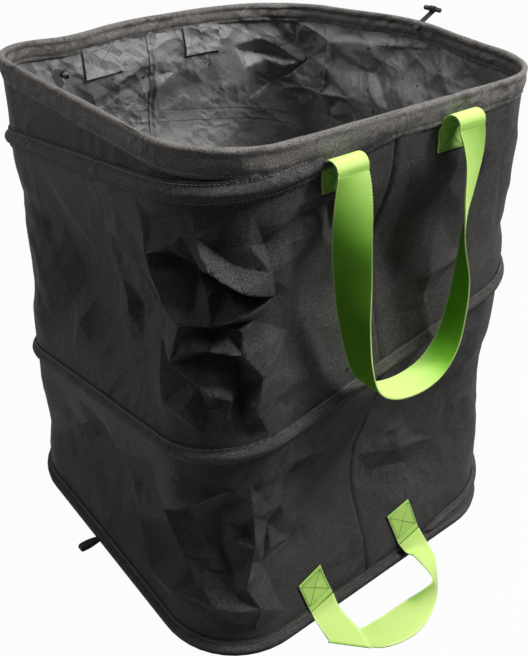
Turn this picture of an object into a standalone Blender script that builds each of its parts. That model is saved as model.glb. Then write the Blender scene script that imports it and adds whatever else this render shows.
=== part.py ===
"""Pop-up garden waste bag: a square fabric body held open by a spring wire coil.

Metres, +Z up. The origin is the centre of the base. -Y is the front, with the tipping handle;
the toggles and the closure loops are on the -X and +X sides. Heights run from the ground.
"""

import math

import bmesh
import bpy
from mathutils import Matrix, Vector

# Overall sizes
HEIGHT = 0.650
BASE_HALF = 0.266
RIM_HALF = 0.241
BASE_CORNER = 0.104
RIM_CORNER = 0.092
CLEARANCE = 0.0005

# Fabric, wire and webbing
FABRIC = 0.0012
PANEL_FABRIC = 0.0012
SLEEVE_FABRIC = 0.0010
WIRE_RADIUS = 0.0016
FERRULE_BORE = 0.0020
FERRULE_WALL = 0.0007
FERRULE_LENGTH = 0.016
FERRULE_ALONG = 0.030
SLEEVE_BORE = 0.0034
SLEEVE_FOOT = 0.0011
HEM_SPARE = 0.0012
HEM_HEIGHT = 0.018
RIM_LEG = 0.020
CHANNEL_WIDTH = 0.022
WEBBING_WIDTH = 0.040
WEBBING = 0.0018
SEAM_BINDING_WIDTH = 0.016

# How far the wall falls inwards between two wires, for each metre of span over the first
SAG_SLOPE = 0.15
TAUT_SPAN = 0.080
CORNER_SAG_SHARE = 0.15

# The spring coil: turns counted clockwise from the front right corner, seen from above
SPIRAL_START = 0.200
SPIRAL_END = 2.065
SPIRAL_OPENING = 1.15
SPIRAL_END_HEIGHT = HEM_HEIGHT + 2 * CLEARANCE + 0.5 * CHANNEL_WIDTH

# Handles
FRONT_CENTRE = -0.024
BACK_CENTRE = 0.0
HANDLE_SPACING = 0.163
HANDLE_DROP = 0.270
HANDLE_BOW = 0.022
HANDLE_TWIST = math.radians(86)
HANDLE_FOLD_BELOW_RIM = 0.0355
HANDLE_TAIL = 0.0245
HANDLE_FOLD_RADIUS = 0.0100
HANDLE_FOLD_LIP = 0.004
PATCH_WIDTH = 0.060
PATCH_HEIGHT = 0.038
PATCH_THICKNESS = 0.0010
PATCH_GAP = 0.0007
WEBBING_GAP = 0.0009
LOWER_END_LENGTH = 0.054
LOWER_END_ABOVE_HEM = 0.004
LOWER_PATCH_RISE = 0.008
LOWER_REACH = 0.084
LOWER_DIP = 0.030
LOWER_TWIST = math.radians(45)

# Toggles and closure loops
CLOSURE_ALONG = 0.020
TOGGLE_GAP = 0.0009
TAPE_WIDTH = 0.008
TAPE = 0.0014
TOGGLE_TAPE_LENGTH = 0.034
TOGGLE_BAR_LENGTH = 0.028
TOGGLE_BAR_RADIUS = 0.0030
TOGGLE_WAIST_RADIUS = 0.0021
TOGGLE_WAIST_LENGTH = 0.012
TOGGLE_WRAP_GAP = 0.0004
TOGGLE_LIFT = math.radians(28)
TOGGLE_FOLDED_LIFT = math.radians(155)
TOGGLE_BEND_RADIUS = 0.006
TOGGLE_BEND = math.radians(76)
LOOP_LENGTH = 0.031
LOOP_HEIGHT = 0.0110
LOOP_NECK = 0.0020
LOOP_OPENS = 0.006
LOOP_FLAT = 0.013
LOOP_CURL = 0.0006

# How finely the soft shapes are divided
CORNER_SHARE = 0.32
CORNER_STEPS = 6
SIDE_STEPS = 5
WALL_LEVELS = 12
STRAP_STEPS = 26
COLUMN_SPACING = 0.008
END_SPACING = 0.004

HANDLE_FOLD_HEIGHT = HEIGHT - HANDLE_FOLD_BELOW_RIM
HANDLE_END_BOTTOM = HANDLE_FOLD_HEIGHT - HANDLE_TAIL
LOWER_END_BOTTOM = HEM_HEIGHT + LOWER_END_ABOVE_HEM
HEM_CENTRE_OUT = WIRE_RADIUS + FERRULE_WALL + HEM_SPARE
PANEL_EDGE = HEM_CENTRE_OUT + SLEEVE_BORE + SLEEVE_FABRIC + CLEARANCE
HEM_CENTRE_HEIGHT = PANEL_FABRIC + CLEARANCE + SLEEVE_FABRIC + SLEEVE_BORE
RIM_CENTRE_OUT = -0.5 * FABRIC
RIM_CENTRE_HEIGHT = HEIGHT - SLEEVE_FABRIC - SLEEVE_BORE
RIM_LEG_BOTTOM = HEIGHT - RIM_LEG
WALL_BOTTOM = PANEL_FABRIC + CLEARANCE
WALL_TOP = RIM_CENTRE_HEIGHT - FERRULE_BORE - FERRULE_WALL - CLEARANCE
SPIRAL_TOP = RIM_LEG_BOTTOM - CLEARANCE - 0.5 * CHANNEL_WIDTH
SLEEVE_OUTSIDE = SLEEVE_BORE + SLEEVE_FABRIC

for old in list(bpy.data.objects):
    bpy.data.objects.remove(old, do_unlink=True)

bag = bpy.data.collections.new("garden_waste_bag")
bpy.context.scene.collection.children.link(bag)


def material(name, colour, roughness, metallic=0.0):
    """A plain surface with the colour and gloss of the real one."""
    made = bpy.data.materials.new(name)
    made.use_nodes = True
    shader = made.node_tree.nodes["Principled BSDF"]
    shader.inputs["Base Color"].default_value = (*colour, 1.0)
    shader.inputs["Roughness"].default_value = roughness
    shader.inputs["Metallic"].default_value = metallic
    return made


BLACK_FABRIC = material("black_coated_polyester", (0.030, 0.029, 0.028), 0.75)
BLACK_SLEEVE = material("black_sleeve_tape", (0.045, 0.042, 0.040), 0.80)
BLACK_LINING = material("black_lining", (0.040, 0.040, 0.040), 0.50)
LIME_WEBBING = material("lime_webbing", (0.300, 0.720, 0.060), 0.70)
SPRING_STEEL = material("spring_steel", (0.550, 0.550, 0.560), 0.35, 1.0)
CRIMP_STEEL = material("crimp_steel", (0.600, 0.600, 0.600), 0.45, 1.0)
BLACK_TAPE = material("black_tape", (0.020, 0.020, 0.020), 0.80)
BLACK_PLASTIC = material("black_gloss_plastic", (0.012, 0.012, 0.012), 0.20)


def between(low, high, share):
    return low + (high - low) * share


def wall_half(height):
    return between(BASE_HALF, RIM_HALF, height / HEIGHT)


def corner_radius(height):
    return between(BASE_CORNER, RIM_CORNER, height / HEIGHT)


def side_frame(side):
    """Outward and onward directions of a side: 0 front, 1 left, 2 back, 3 right."""
    outward = ((0, -1), (-1, 0), (0, 1), (1, 0))[side]
    onward = ((-1, 0), (0, 1), (1, 0), (0, -1))[side]
    return Vector(outward), Vector(onward)


def outline(turn, half, radius):
    """Point and outward direction on a rounded square, at a share of a turn."""
    quarters = (turn % 1.0) * 4
    side = int(quarters) % 4
    share = quarters - int(quarters)
    outward, onward = side_frame(side)
    corner = 0.5 * CORNER_SHARE
    flat = half - radius
    if corner <= share <= 1 - corner:
        along = between(-flat, flat, (share - corner) / (1 - 2 * corner))
        return outward * half + onward * along, outward
    end = -1 if share < corner else 1
    from_flat = (corner - share) if share < corner else (share - (1 - corner))
    angle = math.radians(45) * from_flat / corner
    normal = outward * math.cos(angle) + onward * (end * math.sin(angle))
    return (outward + onward * end) * flat + normal * radius, normal


def spiral_height(turn):
    """Height of the coil's centre: it leaves the rim flat and opens towards the base."""
    share = (turn - SPIRAL_START) / (SPIRAL_END - SPIRAL_START)
    return between(SPIRAL_TOP, SPIRAL_END_HEIGHT, share**SPIRAL_OPENING)


def supports(turn):
    """Heights at which a wire holds the wall out, at a share of a turn."""
    held = [0.0, HEIGHT]
    for lap in range(3):
        height = spiral_height(max(SPIRAL_START, turn % 1.0 + lap))
        if height > FABRIC:
            held.append(height)
    return sorted(held)


def sag(turn, height):
    """How far the wall falls inwards, most in the middle of a side and of a span."""
    held = supports(turn)
    for low, high in zip(held, held[1:]):
        if low <= height <= high:
            break
    depth = SAG_SLOPE * max(0.0, high - low - TAUT_SPAN)
    across = abs(math.sin(math.pi * ((turn * 4) % 1.0))) ** 1.5
    across = between(CORNER_SAG_SHARE, 1.0, across)
    return depth * across * math.sin(math.pi * (height - low) / (high - low)) ** 2


def wall_point(turn, height, out=0.0):
    """A point on the wall's outer face, or a distance out from it."""
    point, normal = outline(turn, wall_half(height), corner_radius(height))
    point = point + normal * (out - sag(turn, height))
    return Vector((point.x, point.y, height))


def hoop_point(turn, height, out, level):
    """A point out from the taut outline at one level, drawn at any height."""
    point, normal = outline(turn, wall_half(level), corner_radius(level))
    point = point + normal * out
    return Vector((point.x, point.y, height))


def side_turn(side, along, height):
    """The share of a turn at a distance along a side from its middle."""
    flat = wall_half(height) - corner_radius(height)
    share = between(0.5 * CORNER_SHARE, 1 - 0.5 * CORNER_SHARE, 0.5 + 0.5 * along / flat)
    return (side + share) / 4


def turn_width(width):
    """A short width along a side, as a share of a turn."""
    return width * (1 - CORNER_SHARE) / (8 * (RIM_HALF - RIM_CORNER))


def turns_of(side, places):
    """Shares of a turn at distances along a side."""
    return [side_turn(side, along, HEIGHT) for along in places]


FRONT_SEAM, BACK_SEAM = side_turn(0, -FRONT_CENTRE, HEIGHT), side_turn(2, BACK_CENTRE, HEIGHT)


def ring_columns():
    """Shares of a turn at which every ring, panel and band has its points."""
    corner = 0.5 * CORNER_SHARE
    shares = [corner * 2 * step / CORNER_STEPS for step in range(CORNER_STEPS // 2 + 1)]
    shares += [1 - share for share in reversed(shares)]
    columns = [(side + share) / 4 for side in range(4) for share in shares[:-1]]
    for side in (1, 3):
        inner = [between(corner, 1 - corner, step / SIDE_STEPS) for step in range(1, SIDE_STEPS)]
        columns += [(side + share) / 4 for share in inner]
    for side, centre in ((0, -FRONT_CENTRE), (2, BACK_CENTRE)):
        steps = (-0.8, -0.5, -0.25, 0, 0.25, 0.5)
        columns += turns_of(side, [centre + HANDLE_SPACING * step for step in steps])
    special = [SPIRAL_START % 1.0, SPIRAL_END % 1.0]
    closest = turn_width(COLUMN_SPACING)
    kept = [c for c in columns if all(abs(c - s) > closest for s in special)]
    return sorted(kept + special)


COLUMNS = ring_columns()


def wall_levels():
    """Levels of the wall's rows, with one at each edge that something else meets."""
    low, high = LOWER_END_BOTTOM + LOWER_END_LENGTH, HANDLE_END_BOTTOM
    levels = [WALL_BOTTOM, LOWER_END_BOTTOM, 0.5 * (LOWER_END_BOTTOM + low)]
    levels += [between(low, high, step / WALL_LEVELS) for step in range(WALL_LEVELS + 1)]
    return levels + [0.5 * (high + RIM_LEG_BOTTOM), RIM_LEG_BOTTOM, WALL_TOP]


LEVELS = wall_levels()


def neighbours(values, value):
    """The two values in a rising list that a value lies between, and its share."""
    for low, high in zip(values, values[1:]):
        if value <= high:
            break
    return low, high, (value - low) / (high - low)


def panel_point(turn, height, out):
    """A point out from the wall's flat facets, for the pieces sewn to it."""
    first, last, across = neighbours(COLUMNS, turn)
    low, high, up = neighbours(LEVELS, height)
    bottom = wall_point(first, low, out).lerp(wall_point(last, low, out), across)
    top = wall_point(first, high, out).lerp(wall_point(last, high, out), across)
    return bottom.lerp(top, up)


def columns_from(first, last):
    """The columns between two places on the coil or ring, with both ends."""
    laps = range(int(first) - 1, int(last) + 2)
    places = [lap + column for lap in laps for column in COLUMNS]
    margin = turn_width(END_SPACING)
    inner = [place for place in places if first + margin < place < last - margin]
    return [first, *inner, last]


def keep(obj, finish):
    """Gives an object its finish and puts it in the bag's collection."""
    obj.data.materials.append(finish)
    bag.objects.link(obj)
    return obj


def grid_mesh(columns, rows, place, closed=False):
    """A grid whose point in a column and a row lies at place(column, row)."""
    mesh = bmesh.new()
    bmesh.ops.create_grid(mesh, x_segments=columns - 1, y_segments=rows - 1, size=0.5)
    for vertex in mesh.verts:
        column = round((vertex.co.x + 0.5) * (columns - 1))
        row = round((vertex.co.y + 0.5) * (rows - 1))
        vertex.co = place(column % (columns - 1) if closed else column, row)
    if closed:
        bmesh.ops.remove_doubles(mesh, verts=mesh.verts, dist=1e-6)
    return mesh


def cloth(name, columns, rows, place, thick, finish, side=1, closed=False):
    """A sheet of fabric or webbing, thickened out from its points, in, or both ways."""
    mesh = grid_mesh(columns, rows, place, closed)
    bmesh.ops.reverse_faces(mesh, faces=mesh.faces)
    data = bpy.data.meshes.new(name)
    mesh.to_mesh(data)
    mesh.free()
    obj = keep(bpy.data.objects.new(name, data), finish)
    shell = obj.modifiers.new("thickness", "SOLIDIFY")
    shell.thickness = thick
    shell.offset = side
    shell.use_even_offset = True
    return obj


def wire(name, points, cyclic, radius, finish):
    """A round wire through its points."""
    curve = bpy.data.curves.new(name, "CURVE")
    curve.dimensions = "3D"
    spline = curve.splines.new("POLY")
    spline.points.add(len(points) - 1)
    for point, place in zip(spline.points, points):
        point.co = (*place, 1.0)
    spline.use_cyclic_u = cyclic
    curve.bevel_depth = radius
    curve.bevel_resolution = 2
    curve.use_fill_caps = True
    return keep(bpy.data.objects.new(name, curve), finish)


def crimp(name, start, end, blind=False):
    """A steel tube pressed round a wire, open right through or closed at its end."""
    along = end - start
    mesh = bmesh.new()
    bmesh.ops.create_cone(
        mesh, segments=12, radius1=FERRULE_BORE, radius2=FERRULE_BORE, depth=along.length
    )
    if blind:
        rim = [edge for edge in mesh.edges if all(v.co.z > 0 for v in edge.verts)]
        bmesh.ops.contextual_create(mesh, geom=rim)
    turn = along.to_track_quat("Z", "Y").to_matrix().to_4x4()
    bmesh.ops.transform(
        mesh, matrix=Matrix.Translation((start + end) / 2) @ turn, verts=mesh.verts
    )
    bmesh.ops.recalc_face_normals(mesh, faces=mesh.faces)
    data = bpy.data.meshes.new(name)
    mesh.to_mesh(data)
    mesh.free()
    obj = keep(bpy.data.objects.new(name, data), CRIMP_STEEL)
    shell = obj.modifiers.new("wall", "SOLIDIFY")
    shell.thickness = FERRULE_WALL
    shell.offset = 1
    return obj


# Base: a fabric floor, its wire hoop and the hem that binds floor, wall and hoop together
def make_base():
    curve = bpy.data.curves.new("base_panel", "CURVE")
    curve.dimensions = "2D"
    curve.fill_mode = "BOTH"
    curve.extrude = 0.5 * PANEL_FABRIC
    edge = curve.splines.new("POLY")
    edge.points.add(len(COLUMNS) - 1)
    for point, column in zip(edge.points, COLUMNS):
        place = hoop_point(column, 0.0, PANEL_EDGE, 0.0)
        point.co = (*place, 1.0)
    edge.use_cyclic_u = True
    panel = keep(bpy.data.objects.new("base_panel", curve), BLACK_FABRIC)
    panel.location.z = 0.5 * PANEL_FABRIC

    level, centre = 0.0, HEM_CENTRE_HEIGHT
    hoop = [hoop_point(column, centre, HEM_CENTRE_OUT, level) for column in COLUMNS]
    wire("base_hoop_wire", hoop, True, WIRE_RADIUS, SPRING_STEEL)
    join_hoop("base_hoop_ferrule", centre, HEM_CENTRE_OUT, level)

    section = [(CLEARANCE, HEM_HEIGHT), (CLEARANCE, centre + SLEEVE_BORE + SLEEVE_FOOT)]
    for degrees in (90, 45, 0, -45, -90):
        angle = math.radians(degrees)
        section.append(
            (
                HEM_CENTRE_OUT + SLEEVE_BORE * math.cos(angle),
                centre + SLEEVE_BORE * math.sin(angle),
            )
        )
    section.append((CLEARANCE, centre - SLEEVE_BORE))
    section.reverse()

    def place(column, row):
        out, height = section[row]
        return hoop_point(COLUMNS[column], height, out, level)

    cloth(
        "base_hem",
        len(COLUMNS) + 1,
        len(section),
        place,
        SLEEVE_FABRIC,
        BLACK_SLEEVE,
        closed=True,
    )


def join_hoop(name, height, out, level):
    """The crimp that closes a hoop, on the straight of the back."""
    middle = hoop_point(side_turn(2, FERRULE_ALONG, level), height, out, level)
    reach = Vector((0.5 * FERRULE_LENGTH, 0.0, 0.0))
    crimp(name, middle - reach, middle + reach)


# Walls: two panels of coated fabric, each round two corners, sewn at the front and the back
def make_walls():
    half_gap = turn_width(0.5 * CLEARANCE)
    spans = (
        ("wall_left", FRONT_SEAM + half_gap, BACK_SEAM - half_gap),
        ("wall_right", BACK_SEAM + half_gap, 1 + FRONT_SEAM - half_gap),
    )
    for name, first, last in spans:
        columns = columns_from(first, last)

        def place(column, row, columns=columns):
            return wall_point(columns[column], LEVELS[row])

        cloth(name, len(columns), len(LEVELS), place, FABRIC, BLACK_FABRIC, side=-1)

    reach = turn_width(0.5 * SEAM_BINDING_WIDTH)
    inside = -FABRIC - CLEARANCE
    seams = (("seam_binding_front", FRONT_SEAM), ("seam_binding_back", BACK_SEAM))
    rows = [level for level in LEVELS if level < RIM_LEG_BOTTOM - CLEARANCE]
    rows.append(RIM_LEG_BOTTOM - 4 * CLEARANCE)
    for name, seam in seams:
        places = (seam - reach, seam, seam + reach)

        def place(column, row, places=places):
            return wall_point(places[column], rows[row], inside)

        cloth(name, 3, len(rows), place, SLEEVE_FABRIC, BLACK_SLEEVE, side=-1)


# Spring coil: one wire in a sewn channel, with a steel cap on each end
def make_spiral():
    columns = columns_from(SPIRAL_START, SPIRAL_END)
    out = HEM_CENTRE_OUT
    points = [wall_point(column, spiral_height(column), out) for column in columns]
    wire("spiral_wire", points, False, WIRE_RADIUS, SPRING_STEEL)
    for name, end, inner in (
        ("spiral_top_cap", points[0], points[1]),
        ("spiral_bottom_cap", points[-1], points[-2]),
    ):
        onward = (end - inner).normalized()
        start = end - onward * (0.6 * FERRULE_LENGTH)
        crimp(name, start, end + onward * CLEARANCE, blind=True)

    flat = 0.5 * CHANNEL_WIDTH
    section = [(-flat, CLEARANCE), (-SLEEVE_BORE - SLEEVE_FOOT, CLEARANCE)]
    for degrees in (150, 90, 30):
        angle = math.radians(degrees)
        section.append((SLEEVE_BORE * math.cos(angle), out + SLEEVE_BORE * math.sin(angle)))
    section += [(SLEEVE_BORE + SLEEVE_FOOT, CLEARANCE), (flat, CLEARANCE)]

    def place(column, row):
        up, away = section[row]
        turn = columns[column]
        height = spiral_height(turn)
        foot = wall_point(turn, height)
        normal = outline(turn, wall_half(height), corner_radius(height))[1]
        lean = (wall_half(0.0) - wall_half(HEIGHT)) / HEIGHT
        spot = foot + Vector((*normal, 0.0)) * (away - lean * up)
        return Vector((spot.x, spot.y, height + up))

    cloth("spiral_channel", len(columns), len(section), place, SLEEVE_FABRIC, BLACK_SLEEVE)


# Rim: a wire hoop in a sleeve folded over the top edge of the wall
def make_rim():
    level, centre = HEIGHT, RIM_CENTRE_HEIGHT
    hoop = [hoop_point(column, centre, RIM_CENTRE_OUT, level) for column in COLUMNS]
    wire("rim_hoop_wire", hoop, True, WIRE_RADIUS, SPRING_STEEL)
    join_hoop("rim_hoop_ferrule", centre, RIM_CENTRE_OUT, level)

    inner, outer = -FABRIC - CLEARANCE, CLEARANCE
    neck = centre - SLEEVE_BORE - SLEEVE_FOOT
    section = [(outer, RIM_LEG_BOTTOM), (outer, neck)]
    for degrees in (-30, 30, 90, 150, 210):
        angle = math.radians(degrees)
        section.append(
            (
                RIM_CENTRE_OUT + SLEEVE_BORE * math.cos(angle),
                centre + SLEEVE_BORE * math.sin(angle),
            )
        )
    section += [(inner, neck), (inner, RIM_LEG_BOTTOM)]

    def place(column, row):
        out, height = section[row]
        if height <= neck:
            return wall_point(COLUMNS[column], height, out)
        return hoop_point(COLUMNS[column], height, out, level)

    cloth(
        "rim_sleeve",
        len(COLUMNS) + 1,
        len(section),
        place,
        SLEEVE_FABRIC,
        BLACK_SLEEVE,
        closed=True,
    )


def on_side(side, along, height, out):
    """A point out from the wall, at a distance along a side from its middle."""
    return panel_point(side_turn(side, along, height), height, out)


def fold_plane():
    """How far the outer leg of a handle's fold hangs from the bag's centre."""
    wall = wall_half(HANDLE_FOLD_HEIGHT) + WEBBING_GAP + 0.5 * WEBBING
    return wall + 2 * HANDLE_FOLD_RADIUS


def make_handle_end(name, side, along):
    """A sewn end of an upper handle: flat on the wall, then folded over and down."""
    outward, onward = side_frame(side)
    stand = WEBBING_GAP + 0.5 * WEBBING
    tail_rows, fold_rows = 3, 8

    def place(column, row):
        reach = along + WEBBING_WIDTH * (column / 2 - 0.5)
        share = min(1.0, row / tail_rows)
        height = between(HANDLE_END_BOTTOM, HANDLE_FOLD_HEIGHT, share)
        distance = on_side(side, reach, height, stand).xy.dot(outward)
        if row > tail_rows:
            angle = math.pi * min(1.0, (row - tail_rows) / fold_rows)
            distance = between(distance, fold_plane(), 0.5 - 0.5 * math.cos(angle))
            height += HANDLE_FOLD_RADIUS * math.sin(angle)
        if row > tail_rows + fold_rows:
            height -= HANDLE_FOLD_LIP
        spot = outward * distance + onward * reach
        return Vector((spot.x, spot.y, height))

    rows = tail_rows + fold_rows + 2
    cloth(name, 3, rows, place, WEBBING, LIME_WEBBING, side=0)


def make_patch(name, side, along, bottom, height):
    """A square of fabric sewn inside the wall behind a handle's end."""
    inside = -FABRIC - PATCH_GAP

    def place(column, row):
        reach = along + PATCH_WIDTH * (column / 2 - 0.5)
        return on_side(side, reach, bottom + height * row / 3, inside)

    cloth(name, 3, 4, place, PATCH_THICKNESS, BLACK_LINING, side=-1)


def strap(name, origin, across, down, away, shape, tilt):
    """A webbing loop. shape(share) gives its distances across, down and away."""

    def centre(share):
        a, d, w = shape(share)
        return origin + across * a + down * d + away * w

    def place(column, row):
        share = row / STRAP_STEPS
        step = 0.25 / STRAP_STEPS
        onward = centre(min(1.0, share + step)) - centre(max(0.0, share - step))
        inner = across * -onward.dot(down) * -1 + down * onward.dot(across) * -1
        inner.normalize()
        angle = tilt * math.sin(math.pi * share)
        width = inner * math.cos(angle) - away * math.sin(angle)
        return centre(share) + width * (WEBBING_WIDTH * (0.5 - 0.5 * column))

    cloth(name, 3, STRAP_STEPS + 1, place, WEBBING, LIME_WEBBING, side=0)


def make_upper_handle(name, side, centre_along):
    """The hanging loop of an upper handle, from one fold to the other."""
    outward, onward = side_frame(side)
    top = HANDLE_FOLD_HEIGHT - HANDLE_FOLD_LIP - CLEARANCE
    spot = outward * fold_plane() + onward * centre_along
    origin = Vector((spot.x, spot.y, top))

    def shape(share):
        arc = math.sin(math.pi * share)
        across = -0.5 * HANDLE_SPACING * math.cos(math.pi * share)
        return across, HANDLE_DROP * arc**0.6, HANDLE_BOW * arc

    strap(
        name,
        origin,
        Vector((*onward, 0.0)),
        Vector((0.0, 0.0, -1.0)),
        Vector((*outward, 0.0)),
        shape,
        HANDLE_TWIST,
    )


# Upper handles: webbing sewn under the rim at both ends, with a patch inside each end
def make_upper_handles():
    for end, side, centre in (("front", 0, -FRONT_CENTRE), ("back", 2, BACK_CENTRE)):
        make_upper_handle(f"{end}_handle_loop", side, centre)
        for hand, sign in (("left", 1), ("right", -1)):
            along = centre + sign * 0.5 * HANDLE_SPACING
            make_handle_end(f"{end}_handle_end_{hand}", side, along)
            bottom = RIM_LEG_BOTTOM - CLEARANCE - PATCH_HEIGHT
            make_patch(f"{end}_patch_{hand}", side, along, bottom, PATCH_HEIGHT)


# Tipping handle: webbing sewn low on the front, its loop lying out on the ground
def make_lower_handle():
    outward, onward = side_frame(0)
    stand = WEBBING_GAP + 0.5 * WEBBING
    for hand, sign in (("left", 1), ("right", -1)):
        along = -FRONT_CENTRE + sign * 0.5 * HANDLE_SPACING

        def place(column, row, along=along):
            reach = along + WEBBING_WIDTH * (column / 2 - 0.5)
            height = LOWER_END_BOTTOM + LOWER_END_LENGTH * row / 3
            return on_side(0, reach, height, stand)

        cloth(f"lower_handle_end_{hand}", 3, 4, place, WEBBING, LIME_WEBBING, side=0)
        bottom = LOWER_END_BOTTOM + LOWER_PATCH_RISE
        make_patch(f"lower_patch_{hand}", 0, along, bottom, LOWER_END_LENGTH - LOWER_PATCH_RISE)

    start_height = LOWER_END_BOTTOM - CLEARANCE - 0.5 * WEBBING
    distance = wall_half(start_height) + stand
    spot = outward * distance - onward * FRONT_CENTRE
    origin = Vector((spot.x, spot.y, 0.0))
    far_height = 0.5 * WEBBING_WIDTH * math.sin(LOWER_TWIST) + WEBBING

    def shape(share):
        arc = math.sin(math.pi * share)
        across = -0.5 * HANDLE_SPACING * math.cos(math.pi * share)
        along = arc**0.6
        height = between(start_height, far_height, along) - LOWER_DIP * along * (1 - along)
        return across, LOWER_REACH * along, height

    strap(
        "lower_handle_loop",
        origin,
        Vector((*onward, 0.0)),
        Vector((*outward, 0.0)),
        Vector((0.0, 0.0, 1.0)),
        shape,
        LOWER_TWIST,
    )


def make_toggle(hand, side, lift, bend):
    """A toggle bar on a tape that comes out of the rim sleeve and wraps the bar."""
    outward, onward = side_frame(side)
    out = Vector((*outward, 0.0))
    along = Vector((*onward, 0.0))
    up = Vector((0.0, 0.0, 1.0))
    reach = out * math.cos(lift) + up * math.sin(lift)
    face = reach.cross(along)
    spot = out * (wall_half(HEIGHT) + RIM_CENTRE_OUT) + up * RIM_CENTRE_HEIGHT
    spot = spot + along * CLOSURE_ALONG + reach * (SLEEVE_OUTSIDE + TOGGLE_GAP)
    arc = TOGGLE_BEND_RADIUS * bend
    run = TOGGLE_TAPE_LENGTH - 2 * arc
    turns = [0.2 * bend * step for step in range(6)] if bend else [0.0]
    rows = []
    for angle in turns:
        way = reach * math.cos(angle) + along * math.sin(angle)
        offset = reach * math.sin(angle) + along * (1 - math.cos(angle))
        rows.append((spot + offset * TOGGLE_BEND_RADIUS, way.cross(face)))
    straight = rows[-1][0]
    for step in (1, 2, 3):
        rows.append((straight + way * (run * step / 3), rows[-1][1]))
    turned = rows[-1][0]
    centre = turned + (reach * math.sin(bend) - along * math.cos(bend)) * TOGGLE_BEND_RADIUS
    if bend:
        for angle in reversed(turns[:-1]):
            way = reach * math.cos(angle) + along * math.sin(angle)
            back = along * math.cos(angle) - reach * math.sin(angle)
            rows.append((centre + back * TOGGLE_BEND_RADIUS, way.cross(face)))
    last, across = rows[-1]
    wrap = TOGGLE_WAIST_RADIUS + TOGGLE_WRAP_GAP + 0.5 * TAPE
    bar_centre = last + reach * (wrap * 0.8) - face * wrap
    for step in range(0, 11):
        angle = math.radians(90 - 30 * step)
        spot = bar_centre + face * (wrap * math.sin(angle)) + reach * (wrap * math.cos(angle))
        rows.append((spot, across))

    def place(column, row):
        spot, width = rows[row]
        return spot + width * (TAPE_WIDTH * (column - 0.5))

    cloth(f"toggle_tape_{hand}", 2, len(rows), place, TAPE, BLACK_TAPE, side=0)
    make_bar(f"toggle_bar_{hand}", bar_centre, across)


def make_bar(name, centre, along):
    """A turned bar with a waist for the tape and rounded ends."""
    half, waist = 0.5 * TOGGLE_BAR_LENGTH, 0.5 * TOGGLE_WAIST_LENGTH
    full, thin = TOGGLE_BAR_RADIUS, TOGGLE_WAIST_RADIUS
    profile = [
        (0.0, half),
        (0.6 * full, half - 0.15 * full),
        (full, half - 0.7 * full),
        (full, waist + 0.4 * full),
        (thin, waist),
    ]
    profile += [(radius, -height) for radius, height in reversed(profile)]
    data = bpy.data.meshes.new(name)
    edges = [(index, index + 1) for index in range(len(profile) - 1)]
    data.from_pydata([(radius, 0.0, height) for radius, height in profile], edges, [])
    obj = keep(bpy.data.objects.new(name, data), BLACK_PLASTIC)
    obj.location = centre
    obj.rotation_mode = "QUATERNION"
    obj.rotation_quaternion = along.to_track_quat("Z", "Y")
    turned = obj.modifiers.new("turned", "SCREW")
    turned.steps = 12
    turned.render_steps = 12
    turned.use_merge_vertices = True
    turned.merge_threshold = 0.00001


def make_closure_loop(name, side):
    """A short tape loop that lies out from the hem and takes the toggle."""
    outward, onward = side_frame(side)
    hem_outside = wall_half(0.0) + HEM_CENTRE_OUT + SLEEVE_OUTSIDE
    near = hem_outside + CLEARANCE
    low, middle = 0.5 * TAPE, 0.5 * LOOP_HEIGHT
    tip_radius = middle - low
    tip = LOOP_LENGTH - tip_radius - low
    neck = 0.5 * LOOP_NECK
    foot = middle - neck - LOOP_CURL
    path = [(0.0, foot), (LOOP_OPENS, low + TAPE), (LOOP_FLAT, low)]
    for step in range(7):
        angle = math.radians(-90 + 30 * step)
        path.append((tip + tip_radius * math.cos(angle), middle + tip_radius * math.sin(angle)))
    path += [(LOOP_FLAT, 2 * middle - low - LOOP_CURL), (LOOP_OPENS, middle + neck + TAPE)]
    path.append((0.0, foot + LOOP_NECK))

    def place(column, row):
        distance, height = path[row]
        reach = CLOSURE_ALONG + TAPE_WIDTH * (column - 0.5)
        spot = outward * (near + distance) + onward * reach
        return Vector((spot.x, spot.y, height))

    cloth(name, 2, len(path), place, TAPE, BLACK_TAPE, side=0)


# Closures: a toggle on each side of the rim and a loop below it at the base
def make_closures():
    make_toggle("left", 1, TOGGLE_FOLDED_LIFT, TOGGLE_BEND)
    make_toggle("right", 3, TOGGLE_LIFT, 0.0)
    make_closure_loop("closure_loop_left", 1)
    make_closure_loop("closure_loop_right", 3)


make_base()
make_walls()
make_spiral()
make_rim()
make_upper_handles()
make_lower_handle()
make_closures()
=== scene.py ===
"""The looks of a square pop-up garden waste bag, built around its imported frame.

Everything is in metres with +Z up and the origin in the middle of the base. -Y is the front,
with the tipping handle; the toggles and closure loops are on the -X and +X sides.
"""

import math
import random

import bmesh
import bpy
from mathutils import Matrix, Vector, geometry, noise
from mathutils.bvhtree import BVHTree


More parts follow.
